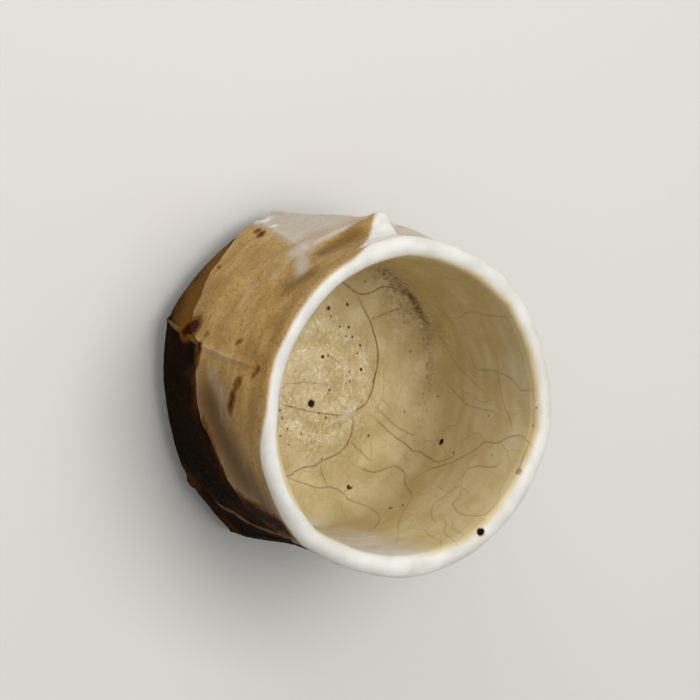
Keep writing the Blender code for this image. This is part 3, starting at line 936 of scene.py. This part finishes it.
# Millimetres up from the floor where the wall begins, the milk and its painted sheen grow and the bloom
# shows.
WALL_RISE, LOW_RISE, HIGH_RISE, BLOOM_RISE = (0.5, 9.5), (0, 5), (10, 34), (6, 18)
LOW_MILK_AND_SHEEN, HIGH_MILK_AND_SHEEN, BLOOM = 0.5, 0.35, 0.3
FRINGE, FRINGE_SIDE, FRINGE_PATH, FRINGE_REACH = 0.15, (60, 80, 170, 190), 9, 2
SHINE_RADIUS, SHINE_RISE = (24, 14), 4
CALM_BELOW_LIP, CALM_MIDDLE = (0, 6), (0, 6)
THROW, THROW_PITCH = 0.025 * MM, 5.2 * MM
SPIRAL, SPIRAL_PITCH = 0.05 * MM, 6.5 * MM
SWAY, SWAY_SIZE = 0.35 * MM, 13.0 * MM
PEBBLE, PEBBLE_SIZE = 0.05 * MM, 1.5 * MM


def nearness(angle, middle, half):
    """A soft share round a direction given in degrees."""
    return faded(math.remainder(math.degrees(angle) - middle, 360), half)


def inner_weights(point):
    """Weights of the inner glaze: white, soil, wall, tan fringe, shine."""
    flat = (point - AXIS).to_2d()
    radius, angle = flat.length / MM, math.atan2(flat.y, flat.x)
    rise = (point.z - LINER_FLOOR) / MM
    shine = ramp(radius, *SHINE_RADIUS) if rise < SHINE_RISE else 0
    path = math.pi * (LIP_WALL / 2 + PROUD) / MM + (LIP_CENTRE - point.z) / MM
    milk_and_painted_light = LOW_MILK_AND_SHEEN * ramp(rise, *LOW_RISE) + HIGH_MILK_AND_SHEEN * ramp(rise, *HIGH_RISE)
    milk_and_painted_light *= nearness(angle, *MILK_AND_SHEEN_SIDE)
    bloom = BLOOM * nearness(angle, *BLOOM_SIDE) * ramp(rise, *BLOOM_RISE)
    white = max(milk_and_painted_light, bloom, stroked(CURDS_AND_GLINTS, flattened(point)), lip_white(path, angle))
    fringe = FRINGE * faded(path - FRINGE_PATH, FRINGE_REACH)
    fringe *= band(math.degrees(angle) % 360, *FRINGE_SIDE)
    return white, stroked(SOIL, flattened(point)), ramp(rise, *WALL_RISE), fringe, shine


def thrown(point):
    """A point of the inside moved by throwing rings on the wall and a pebbled swirl on the floor."""
    flat = (point - AXIS).to_2d()
    if flat.length == 0:
        return point
    rise = point.z - LINER_FLOOR
    turns = math.atan2(flat.y, flat.x) / (2 * math.pi)
    walled = ramp(rise / MM, *WALL_RISE)
    calm = ramp((LIP_CENTRE - point.z) / MM, *CALM_BELOW_LIP)
    sway = SWAY * noise.noise(point / SWAY_SIZE)
    rings = THROW * math.sin(2 * math.pi * (rise / THROW_PITCH + turns)) + sway
    spiral = SPIRAL * math.sin(2 * math.pi * (flat.length / SPIRAL_PITCH - turns))
    low = spiral * ramp(flat.length / MM, *CALM_MIDDLE) + 0.5 * sway
    low += PEBBLE * noise.noise(point / PEBBLE_SIZE) + MM * stroked(SWIRL, flattened(point))
    moved = point - flat.normalized().to_3d() * rings * walled * calm
    moved.z += low * (1 - walled) * calm
    return moved


print("milky share on the near wall:", round(nearness(0, *MILK_AND_SHEEN_SIDE), 2))

# %% Rings of the inner glaze
POOL = 8 * MM
LIP_DROP, LIP_DROP_SIZE = 0.35 * MM, 0.4
LIP_MILK_AND_SHEEN, LIP_TAN = (4, 6), (1.5, 1.0)
GLAZED_LIP_ROWS = 24
GLAZED_INSIDE = (76, 22, 56)


def rolled(roll, turn):
    """A ring on the glazed lip, a little uneven in height as a hand-wiped lip is."""
    point, _ = lip_ring(roll, PROUD, turn)
    _, angle = outside(turn, GLAZE_TOP)
    place = Vector((math.cos(angle), math.sin(angle), 0)) / LIP_DROP_SIZE
    point.z -= LIP_DROP * max(0.5 + noise.noise(place), 0) * math.sin(roll)
    path = roll * (LIP_WALL / 2 + PROUD) / MM
    # The milk on the lip at that side is partly a painted sheen as well.
    milk_and_painted_light = nearness(angle, *MILK_AND_SHEEN_SIDE) * ramp(path, *LIP_MILK_AND_SHEEN)
    return point, (max(lip_white(path, angle), milk_and_painted_light), 0, 1, ramp(roll, *LIP_TAN), 0)


def lined(ring, turn):
    """A plain inner ring with the throwing marks and the painted weights added."""
    point, _ = ring(turn)
    return thrown(point), inner_weights(point)


cream, tree, shader = new_look("cream_crackle_glaze", 0.3, 0.12)
rings = [partial(rolled, row / GLAZED_LIP_ROWS * math.pi) for row in range(GLAZED_LIP_ROWS + 1)]
rings += [partial(lined, ring) for ring in inner_rings(PROUD, POOL, *GLAZED_INSIDE)]
rings.reverse()
rings += [partial(lip_ring, row / LIP_ROWS * math.pi, TUCK) for row in range(LIP_ROWS + 1)]
rings += inner_rings(TUCK, FLOOR_FILLET, *PLAIN_INSIDE)
liner = piece("inner_glaze_fired", loft(rings), "liner_glaze", cream)

# %% [markdown]
# ## Crackle
# On cooling the inner glaze crazed: long curved cracks that tea has stained, with finer ones
# between. The main ones were picked in the photograph, point by point, and the line of sight
# through each pick carries it onto the glaze. Every point of the mesh stores how far it is from the
# nearest crack and on which side, so the line between two points stays as fine as a hair at any
# zoom, where a painted weight would blur.

# %% The line of sight
PHOTO_WIDTH = 700
LENS, SENSOR = 120, 36
FOCUS = PHOTO_WIDTH * LENS / SENSOR
CAMERA_AT = Vector((-9.25, -310.8, 541.2)) * MM
CAMERA_RIGHT = Vector((-0.2070, 0.8381, 0.5046))
CAMERA_UP = Vector((-0.9783, -0.1773, -0.1068))
CAMERA_BACK = CAMERA_RIGHT.cross(CAMERA_UP)
glaze = liner.data
skin_tree = BVHTree.FromPolygons([v.co for v in glaze.vertices], [f.vertices for f in glaze.polygons])


def sighted(x, y):
    """The place on the flattened inside that shows at a pixel of the photograph."""
    sideways = CAMERA_RIGHT * (x - PHOTO_WIDTH / 2) + CAMERA_UP * (PHOTO_WIDTH / 2 - y)
    hit, _, _, _ = skin_tree.ray_cast(CAMERA_AT, sideways - CAMERA_BACK * FOCUS)
    return flattened(hit)


print("the photograph's middle shows the inside at", [round(part, 1) for part in sighted(350, 350)], "mm")

# %% The drawn cracks
# Three sets, so that no two cracks of one set come near each other. A crack has how dark the tea
# stained it, its half width in millimetres, places that the photograph hides, in millimetres on the
# flattened inside, and picks in the photograph, in pixels.
CRAZE = (
    (
        (0.8, 0.32, (), ((357, 293), (363, 307), (370, 321), (373, 330), (377, 345), (378, 360),
         (375, 376), (372, 390), (366, 403), (356, 410), (352, 411))),
        (0.45, 0.28, ((1.2, -15),), ((290, 384), (306, 382), (314, 383), (322, 384), (330, 386))),
        (0.55, 0.28, ((24, -7),), ((288, 477), (296, 481), (306, 484), (314, 487), (322, 488), (330, 487),
         (342, 492), (347, 498), (360, 504), (368, 507), (375, 511), (379, 516), (379, 521), (375, 527),
         (369, 532), (367, 537), (366, 543))),
        (0.5, 0.28, (), ((349, 440), (360, 451), (366, 457), (372, 462))),
        (0.4, 0.3, (), ((405, 507), (403, 512), (400, 519), (398, 527), (398, 536), (396, 545))),
        (0.55, 0.34, (), ((408, 481), (422, 474), (430, 469), (440, 466), (450, 463), (456, 460),
         (462, 457), (468, 454), (475, 450), (480, 446), (485, 442), (497, 443), (505, 439), (512, 436),
         (520, 436), (527, 441), (533, 447), (537, 450))),
        (0.4, 0.32, (), ((459, 484), (452, 490), (445, 496), (438, 500), (433, 506), (431, 512),
         (433, 519), (437, 524))),
        (0.35, 0.32, (), ((424, 531), (431, 536), (440, 541), (441, 548))),
        (0.35, 0.32, (), ((456, 520), (452, 527), (459, 532), (465, 536))),
        (0.4, 0.36, (), ((447, 319), (460, 317), (466, 313), (474, 312), (485, 315), (495, 316),
         (505, 317), (514, 315))),
        (0.5, 0.36, (), ((474, 367), (480, 370), (488, 370), (497, 371), (502, 374), (508, 377),
         (514, 381), (517, 386), (521, 390), (528, 390), (537, 390))),
        (0.4, 0.32, (), ((430, 328), (436, 333), (445, 344), (449, 352), (453, 359), (458, 366),
         (463, 372), (468, 377), (474, 383), (480, 388), (486, 394))),
        (0.42, 0.32, (), ((444, 380), (452, 389), (458, 396), (464, 402), (470, 406), (478, 408),
         (486, 410), (493, 411), (498, 416))),
        (0.6, 0.3, (), ((329, 355), (339, 363), (343, 367))),
        (0.5, 0.3, ((8, -40), (14, -50), (10, -60), (16, -72)), ()),
        (0.45, 0.3, ((-14, -20), (-22, -28), (-34, -28), (-46, -24), (-58, -30)), ()),
        (0.4, 0.3, ((36, -18), (46, -24), (52, -34), (50, -46)), ()),
        (0.4, 0.3, ((-50, 6), (-58, 12), (-62, 22), (-70, 26)), ()),
    ),
    (
        (0.7, 0.3, ((-29, -4),), ((345, 284), (357, 293), (370, 293), (382, 287), (394, 288),
         (404, 296))),
        (0.5, 0.28, (), ((370, 320), (384, 314), (398, 309), (404, 306))),
        (0.7, 0.3, ((26, -11),), ((288, 476), (296, 471), (305, 467), (314, 466), (326, 459), (340, 452),
         (349, 440), (353, 425), (352, 411))),
        (0.6, 0.3, (), ((367, 410), (377, 420), (388, 431), (394, 436), (408, 446), (413, 451),
         (420, 452), (428, 457), (438, 462), (446, 459), (454, 456), (460, 453))),
        (0.35, 0.3, (), ((462, 441), (468, 437), (474, 434), (480, 434), (483, 441))),
        (0.5, 0.34, (), ((459, 482), (463, 475), (467, 470), (473, 467), (480, 466), (490, 467),
         (498, 465), (505, 458))),
        (0.4, 0.34, (), ((497, 352), (498, 366), (499, 380), (502, 398), (505, 407), (508, 413),
         (511, 422), (513, 432))),
        (0.4, 0.32, (), ((441, 518), (446, 524), (444, 531), (450, 538), (456, 543), (458, 548))),
        (0.4, 0.34, (), ((529, 444), (524, 455), (521, 464), (519, 472))),
        (0.25, 0.32, (), ((463, 340), (466, 347), (470, 355), (474, 364))),
        (0.3, 0.3, (), ((428, 295), (436, 305), (444, 314), (452, 322), (456, 330))),
        (0.5, 0.3, ((-38, -30), (-33, -40), (-36, -52), (-28, -62)), ()),
    ),
    (
        (0.7, 0.3, (), ((352, 411), (341, 415), (328, 414), (320, 413), (308, 411), (300, 409),
         (292, 407), (279, 403))),
        (0.5, 0.26, (), ((320, 465), (324, 479), (327, 485))),
        (0.5, 0.3, (), ((346, 459), (358, 467), (366, 470), (374, 472), (382, 470), (394, 466),
         (404, 472), (405, 480), (406, 486), (410, 491), (412, 497), (410, 502), (405, 506), (396, 507),
         (388, 509))),
        (0.45, 0.26, (), ((371, 404), (381, 412), (391, 422), (397, 427), (408, 433), (415, 435))),
        (0.5, 0.34, (), ((460, 485), (461, 493), (457, 499), (453, 505), (458, 512), (464, 515),
         (475, 516), (485, 514), (492, 508), (498, 502))),
    ),
)
CRACK_REACH = 1.6


def smooth_line(points, steps=6):
    """Rounds a line through its points, as a curve that bends evenly."""
    ends = [points[0], *points, points[-1]]
    smooth = []
    for a, b, c, d in zip(ends, ends[1:], ends[2:], ends[3:]):
        a, b, c, d = (np.array(p) for p in (a, b, c, d))
        for step in range(steps):
            t = step / steps
            smooth.append(b + t / 2 * (c - a + t * (2 * a - 5 * b + 4 * c - d + t * (3 * (b - c) + d - a))))
    return np.array([*smooth, points[-1]])


print(sum(len(cracks) for cracks in CRAZE), "cracks in", len(CRAZE), "sets")

# %% Store the cracks on the mesh
# A crack fades over an eighth of its length at both ends. Away from all cracks a point stores a wide
# gap, no stain and a half width of one.
FAR, TAPER = 1e3, 8
UNCRACKED = (9, 0, 1)
flat = np.array([flattened(vert.co) for vert in glaze.vertices])
reach = np.maximum(np.hypot(flat[:, 0], flat[:, 1]), 1e-6)
radius = np.array([(vert.co - AXIS).to_2d().length / MM for vert in glaze.vertices])
outward = flat / reach[:, None]
around = np.stack([-outward[:, 1], outward[:, 0]], 1)
stretch = reach / np.maximum(radius, 1e-6)
for number, cracks in enumerate(CRAZE):
    nearest = np.full(len(flat), FAR)
    stored = np.tile(np.array(UNCRACKED, np.float32), (len(flat), 1))
    for stain, width, hidden, picks in cracks:
        line = smooth_line([*hidden, *(sighted(*pick) for pick in picks)])
        for index, (start, end) in enumerate(zip(line, line[1:])):
            along = end - start
            length = np.hypot(*along)
            across = np.array([-along[1], along[0]]) / length
            share = np.clip((flat - start) @ along / length**2, 0, 1)
            gap = np.hypot(*(flat - start - share[:, None] * along).T)
            scale = np.hypot(outward @ across, (around @ across) * stretch)
            signed = ((flat - start) @ across) / scale
            ends = (index + share) / (len(line) - 1)
            fade = np.minimum(np.minimum(ends, 1 - ends) * TAPER, 1)
            better = (gap < nearest) & (gap < CRACK_REACH * 2)
            nearest[better] = gap[better]
            stored[better, 0] = signed[better]
            stored[better, 1] = (stain * fade)[better]
            stored[better, 2] = width
    layer = glaze.attributes.new(f"craze_{number}", "FLOAT_VECTOR", "POINT")
    layer.data.foreach_set("vector", stored.ravel())
    print("crack set", number, "reaches", int((nearest < CRACK_REACH).sum()), "points")

# %% [markdown]
# ## Cream crackle glaze
# The inside is a soft, slightly milky feldspar glaze over pale slip. It is white where it is thick
# on the lip and cream to khaki below, pitted and glossy on the floor and smoother on the wall.
# Iron in the clay came through as specks and a few black spots, and tea soiled the corner.

# %% Named iron spots
# Picks in the photograph in pixels, the spot's radius in millimetres, and how dark it is.
SPOTS = (
    (311, 404, 1.07, 1), (441, 443, 0.91, 1), (454, 452, 0.38, 0.9), (518, 472, 0.91, 0.55),
    (489, 416, 0.34, 0.5), (491, 456, 0.41, 0.45), (348, 487, 0.69, 0.9), (352, 488, 0.38, 0.8),
    (390, 508, 0.69, 0.75), (403, 505, 0.41, 0.6), (323, 357, 0.51, 0.9), (328, 355, 0.41, 0.8),
    (347, 305, 0.51, 0.85), (329, 309, 0.69, 0.85), (331, 316, 0.38, 0.7), (339, 327, 0.32, 0.8),
    (349, 328, 0.42, 0.85), (346, 337, 0.34, 0.85), (352, 337, 0.32, 0.85), (360, 345, 0.41, 0.9),
    (358, 353, 0.36, 0.7), (361, 369, 0.47, 0.95), (349, 372, 0.3, 0.8), (350, 381, 0.32, 0.8),
    (346, 384, 0.32, 0.7), (330, 390, 0.41, 0.8), (329, 394, 0.3, 0.7), (319, 413, 0.41, 0.7),
    (326, 417, 0.38, 0.85), (338, 417, 0.3, 0.7), (368, 435, 0.42, 0.8), (287, 429, 0.32, 0.8),
    (301, 434, 0.38, 0.7), (289, 445, 0.3, 0.8), (280, 410, 0.34, 0.7), (281, 419, 0.36, 0.7),
    (280, 436, 0.34, 0.7), (365, 282, 0.38, 0.6), (405, 284, 0.36, 0.75), (396, 278, 0.3, 0.7),
    (384, 274, 0.34, 0.7), (387, 270, 0.32, 0.7), (435, 296, 0.3, 0.55), (411, 352, 0.3, 0.75),
    (438, 396, 0.34, 0.7), (404, 411, 0.38, 0.6), (537, 407, 0.38, 0.5), (533, 425, 0.38, 0.45),
    (344, 541, 0.47, 0.5), (321, 460, 0.42, 0.6),
)
# The black spot on the lip, then spots that the photograph hides: millimetres on the flattened inside.
PLACED_SPOTS = (
    (58.2, 60.8, 1.1, 1), (-30, -38, 0.48, 1), (20, -55, 0.7, 0.9), (-52, 20, 0.32, 0.6),
    (-12, -60, 0.4, 0.9), (-60, -20, 0.4, 0.7), (30, -28, 0.32, 0.8),
)
MOUTH = AXIS + Vector((0, 0, 2 * HEIGHT))
facing = [vert.co.copy() for vert in glaze.vertices if vert.normal.dot(MOUTH - vert.co) > 0]
facing_flat = np.array([flattened(point) for point in facing])


def raised(flat):
    """The point of the inner face at a place on the flattened inside."""
    return facing[int(np.argmin(((facing_flat - flat) ** 2).sum(1)))]


inner_spots = [(raised(sighted(x, y)), radius, dark) for x, y, radius, dark in SPOTS]
inner_spots += [(raised((x, y)), radius, dark) for x, y, radius, dark in PLACED_SPOTS]
print(len(inner_spots), "spots; the first lies at", [round(part / MM) for part in inner_spots[0][0]])

# %% The cream glaze's nodes: ground, grain and soil
# Floor and wall are one glaze; the wall's paler cream is painted light, lifting the wall,
# which the lamps reach less than the floor.
FLOOR_CREAM, FLOOR_PALE, WALL_KHAKI, WALL_PALE = "#b4a071", "#c7b58a", "#cdb988", "#d8c79c"
place = add(tree, "TexCoord", {}, out=3)
_, coat, _, tan_share = add(tree, "Attribute", {}, out=ALL_FOUR, attribute_name="coat")
shine = add(tree, "Attribute", {}, out=2, attribute_name="fifth")
white, soil, wall = add(tree, "SeparateXYZ", {0: coat}, out=THREE)
# Clouds of about 8 mm, mottling of about 2 mm and grain of about a millimetre.
cloud = add(tree, "TexNoise", {"Vector": place, "Scale": PER_MM / 8, "Detail": 3.0})
mottle = add(tree, "TexNoise", {"Vector": place, "Scale": PER_MM / 2, "Detail": 4.0})
grain = add(tree, "TexNoise", {"Vector": place, "Scale": PER_MM / 1.0, "Detail": 3.0})
tone = add(tree, "MapRange", {0: cloud, 1: 0.35, 2: 0.65}, **SMOOTH)
ground = add(tree, "Mix", {FACTOR: tone, UNDER: FLOOR_CREAM, OVER: FLOOR_PALE}, **BLEND)
sides = add(tree, "Mix", {FACTOR: tone, UNDER: WALL_KHAKI, OVER: WALL_PALE}, **BLEND)
on_floor = add(tree, "MapRange", {0: wall, 3: 1.0, 4: 0.2})
grainy = add(tree, "MapRange", {0: shine, 3: 0.3, 4: 1.0})
grainy = add(tree, "Math", {0: grainy, 1: on_floor}, **TIMES)
pit = add(tree, "MapRange", {0: grain, 1: 0.52, 2: 0.7, 4: 0.3})
pit = add(tree, "Math", {0: pit, 1: grainy}, **TIMES)
crumb = add(tree, "MapRange", {0: grain, 1: 0.46, 2: 0.3, 4: 0.38})
crumb = add(tree, "Math", {0: crumb, 1: grainy}, **TIMES)
stain = add(tree, "Math", {0: grain, 1: 1.5, 2: soil}, **TIMES_PLUS)
stain = add(tree, "MapRange", {0: stain, 1: 0.95, 2: 1.9, 4: 0.9})
print("cream glaze:", len(tree.nodes), "nodes for its ground")

# %% The cream glaze's nodes: specks and cracks
# One in five cells of 2.4 mm has a dot of iron, and finer dots sit between.
patchy = add(tree, "MapRange", {0: cloud, 1: 0.62, 2: 0.42})
specks = []
for size, share, dot_radius, dark in ((2.4, 0.82, 0.26, 0.65), (1.15, 0.85, 0.16, 0.5)):
    distance, chance = add(tree, "TexVoronoi", {"Vector": place, "Scale": PER_MM / size}, out=TWO)
    chosen = add(tree, "MapRange", {0: chance, 1: share, 2: share + 0.01, 4: dark})
    speck = add(tree, "MapRange", {0: distance, 1: dot_radius / size, 2: dot_radius / size / 2})
    for part in (chosen, patchy, on_floor):
        speck = add(tree, "Math", {0: speck, 1: part}, **TIMES)
    specks.append(speck)

wobble = add(tree, "MapRange", {0: mottle, 1: 0.3, 2: 0.7, 3: -0.1, 4: 0.1})
uneven = add(tree, "MapRange", {0: mottle, 1: 0.3, 2: 0.6, 3: 0.5, 4: 1.0})
faint = add(tree, "MapRange", {0: wall, 3: 0.95, 4: 0.72})
uneven = add(tree, "Math", {0: uneven, 1: faint}, **TIMES)
cracks = None
for number in range(len(CRAZE)):
    line = add(tree, "Attribute", {}, out=1, attribute_name=f"craze_{number}")
    gap, dark, width = add(tree, "SeparateXYZ", {0: line}, out=THREE)
    gap = add(tree, "Math", {0: gap, 1: wobble}, **PLUS)
    gap = add(tree, "Math", {0: gap}, operation="ABSOLUTE")
    ink = add(tree, "Math", {0: gap, 1: width}, operation="DIVIDE")
    ink = add(tree, "MapRange", {0: ink, 1: 1.4, 2: 0.2}, **SMOOTH)
    ink = add(tree, "Math", {0: ink, 1: dark}, **TIMES)
    cracks = ink if cracks is None else add(tree, "Math", {0: cracks, 1: ink}, **LARGER)
cracks = add(tree, "Math", {0: cracks, 1: uneven}, **TIMES)
# A net of finer cracks about 15 mm apart, drawn a quarter of a millimetre wide so that it shows.
bend = add(tree, "TexNoise", {"Vector": place, "Scale": PER_MM / 14, "Detail": 1.0}, out=1)
bent = add(tree, "VectorMath", {0: bend, 1: [9 * MM] * 3, 2: place}, **TIMES_PLUS)
net = add(tree, "TexVoronoi", {"Vector": bent, "Scale": PER_MM / 15}, feature="DISTANCE_TO_EDGE")
net = add(tree, "MapRange", {0: net, 1: 0.013, 2: 0.003, 4: 0.25})
sparse = add(tree, "MapRange", {0: cloud, 1: 0.42, 2: 0.6})
net = add(tree, "Math", {0: net, 1: sparse}, **TIMES)
cracks = add(tree, "Math", {0: cracks, 1: net}, **LARGER)
print("cream glaze:", len(tree.nodes), "nodes with its cracks")

# %% The cream glaze's nodes: collar, white and spots
# The outer half of the lip begins in the tan of the facets; the thick white covers the top.
_, tone, tan_pit, dusk = brushed_tan(tree, place, cloud)
collar = add(tree, "Mix", {FACTOR: tone, UNDER: TAN, OVER: TAN_PALE}, **BLEND)
for share, shade in ((tan_pit, BROWN), (dusk, TAN_DUSK), (COLLAR, BROWN)):
    collar = add(tree, "Mix", {FACTOR: share, UNDER: collar, OVER: shade}, **BLEND)
thick, pale = thick_white(tree, white, cloud, tone)
# Spots are round but for an edge that strays up to 0.4 mm.
STRAY = 0.8 * MM
ragged = add(tree, "TexNoise", {"Vector": place, "Scale": PER_MM / 0.9}, out=1)
ragged = add(tree, "VectorMath", {0: ragged, 1: [STRAY] * 3, 2: place}, **TIMES_PLUS)
iron = None
for centre, spot_radius, dark in inner_spots:
    middle = centre + Vector([STRAY / 2] * 3)
    gap = add(tree, "VectorMath", {0: ragged, 1: middle}, out=1, operation="DISTANCE")
    spot = add(tree, "MapRange", {0: gap, 1: spot_radius * MM * 1.2, 2: spot_radius * MM * 0.75, 4: dark})
    iron = spot if iron is None else add(tree, "Math", {0: iron, 1: spot}, **LARGER)
black = add(tree, "MapRange", {0: iron, 1: 0.76, 2: 1.0})
print("cream glaze:", len(tree.nodes), "nodes with its spots")

# %% The cream glaze's nodes: shades and skin
colour = ground
for share, shade in (
    (wall, sides), (pit, "#8a764a"), (crumb, "#e8dcbb"), (stain, "#4b2d06"),
    *((speck, "#402404") for speck in specks), (cracks, "#54390c"),
    (tan_share, collar), (thick, pale), (iron, "#5c2f04"), (black, "#1a0500"),
):
    colour = add(tree, "Mix", {FACTOR: share, UNDER: colour, OVER: shade}, **BLEND)
# Glossy in the middle of the floor, satin on the wall, and dry where iron came through.
gloss = add(tree, "MapRange", {0: shine, 3: 0.4, 4: 0.09})
gloss = add(tree, "Math", {0: mottle, 1: 0.06, 2: gloss}, **TIMES_PLUS)
gloss = add(tree, "Math", {0: iron, 1: 0.5, 2: gloss}, **TIMES_PLUS)
skin = add(tree, "Math", {0: mottle, 1: 0.5, 2: grain}, **TIMES_PLUS)
calm = add(tree, "MapRange", {0: shine, 3: 0.14, 4: 0.5})
bump = add(tree, "Bump", {"Height": skin, "Strength": calm, "Distance": 0.2 * MM})
dress(tree, shader, colour, gloss, bump)
print("cream glaze:", len(tree.nodes), "nodes")

# %% [markdown]
# ## Foot ring
# A ring of the same clay, luted under the base and turned with a loop tool on the wheel: a tapering
# section with soft edges and two tool lines, spun round the axis. Fine rings run round it, and the
# edge that it stands on is worn paler.

# %% The foot's nodes
foot_clay, tree, shader = new_look("iron_stoneware_turned", 0.8, 0.1)
place = add(tree, "TexCoord", {}, out=3)
height = add(tree, "SeparateXYZ", {0: place}, out=2)
grit = add(tree, "TexNoise", {"Vector": place, "Scale": PER_MM / 0.8, "Detail": 3.0})
round_lines = add(tree, "Mapping", {0: place, 3: (0.05, 0.05, 1.0)})
turned = add(tree, "TexNoise", {"Vector": round_lines, "Scale": PER_MM / 0.5, "Detail": 2.0})
colour = add(tree, "Mix", {FACTOR: turned, UNDER: "#33231a", OVER: "#5a4029"}, **BLEND)
low = add(tree, "MapRange", {0: height, 1: 1.6 * MM, 2: 0.2 * MM, 4: 0.8})
low = add(tree, "Math", {0: low, 1: grit}, **TIMES)
colour = add(tree, "Mix", {FACTOR: low, UNDER: colour, OVER: "#86694a"}, **BLEND)
dry = add(tree, "MapRange", {0: grit, 1: 0.3, 2: 0.7, 3: 0.65, 4: 0.9})
skin = add(tree, "Math", {0: turned, 1: 0.6, 2: grit}, **TIMES_PLUS)
bump = add(tree, "Bump", {"Height": skin, "Strength": 0.6, "Distance": 0.2 * MM})
dress(tree, shader, colour, dry, bump)
print("foot clay:", len(tree.nodes), "nodes")

# %% Spin the foot
FOOT_STEPS = 160
FOOT_TOP = BASE_HEIGHT + 0.2 * MM
FOOT_EDGE = 0.8 * MM
# Radius and height in millimetres, with two shallow tool lines on the outside.
section = [
    (24.5, 0.0), (29.5, 0.0), (29.75, 1.4), (29.55, 1.7), (29.85, 2.0), (30.1, 3.4), (29.9, 3.7),
    (30.2, 4.0), (30.9, FOOT_TOP / MM), (FOOT_SEAT / MM, FOOT_TOP / MM),
]
bm = bmesh.new()
corners = [bm.verts.new((radius * MM, 0, height * MM)) for radius, height in section]
bm.faces.new(corners)
bmesh.ops.bevel(
    bm, geom=corners[:2], offset=FOOT_EDGE, segments=5, profile=0.5, affect="VERTICES", material=-1,
)
bmesh.ops.delete(bm, geom=bm.faces[:], context="FACES_ONLY")
bmesh.ops.spin(
    bm, geom=bm.verts[:] + bm.edges[:], cent=(0, 0, 0), axis=(0, 0, 1),
    angle=2 * math.pi, steps=FOOT_STEPS, use_merge=True,
)
bmesh.ops.translate(bm, verts=bm.verts, vec=AXIS)
piece("foot_ring_turned", bm, "foot_ring", foot_clay)

# %% [markdown]
# ## Floor, light and camera
# A plain pale floor and soft light: one large box over the mouth, a weaker one from the side of
# the torn horn, a small one that only glints in the gloss of the cup's floor, and a pale sky. The
# levels add up to about one on a face that meets the main light, so a colour comes out about as it
# is written. The camera looks down into the cup, turned on its side, because the cup was pictured
# lying down.

# %% Stage
FLOOR_HALF = 4.0
SKY_LEVEL = 0.4
bm = bmesh.new()
bmesh.ops.create_grid(bm, x_segments=1, y_segments=1, size=FLOOR_HALF)
mesh = bpy.data.meshes.new("studio_floor")
bm.to_mesh(mesh)
bm.free()
floor = bpy.data.objects.new("studio_floor", mesh)
bpy.context.scene.collection.objects.link(floor)
paper, tree, shader = new_look("pale_paper", 0.9, 0.3)
shader.inputs["Base Color"].default_value = linear("#d9d7d2")
mesh.materials.append(paper)

world = bpy.data.worlds.new("pale_sky")
world.use_nodes = True
sky = world.node_tree.nodes["Background"]
sky.inputs["Color"].default_value = linear("#f3f2f0")
sky.inputs["Strength"].default_value = SKY_LEVEL
bpy.context.scene.world = world
bpy.context.scene.view_settings.view_transform = "Standard"

# Name, direction, distance and size in metres, and the light it gives a white face that meets it.
LIGHTS = (
    ("mouth_box", (-0.20, 0.02, 0.97), 0.9, 0.6, 0.71),
    ("side_box", (-0.75, -0.50, 0.35), 0.9, 0.5, 0.30),
    ("glint_box", (0.04, 0.48, 0.88), 0.9, 0.05, 0.12),
)
for name, direction, distance, size, level in LIGHTS:
    lamp = bpy.data.lights.new(name, "AREA")
    lamp.size = size
    lamp.energy = level * math.pi**2 * distance**2
    made = bpy.data.objects.new(name, lamp)
    made.location = Vector(direction).normalized() * distance
    made.rotation_euler = Vector(direction).to_track_quat("Z", "Y").to_euler()
    bpy.context.scene.collection.objects.link(made)
# The small box shows in the gloss alone, so it casts no hard shadow.
bpy.data.objects["glint_box"].visible_diffuse = False
print(len(LIGHTS), "lights and a sky")

# %% Camera
camera_data = bpy.data.cameras.new("camera")
camera_data.sensor_width = SENSOR
camera_data.lens = LENS
camera = bpy.data.objects.new("camera", camera_data)
turned = Matrix((CAMERA_RIGHT, CAMERA_UP, CAMERA_BACK)).transposed().to_4x4()
camera.matrix_world = Matrix.Translation(CAMERA_AT) @ turned
bpy.context.scene.collection.objects.link(camera)
bpy.context.scene.camera = camera
print("camera", round(CAMERA_AT.length / MM), "mm from the cup's foot")
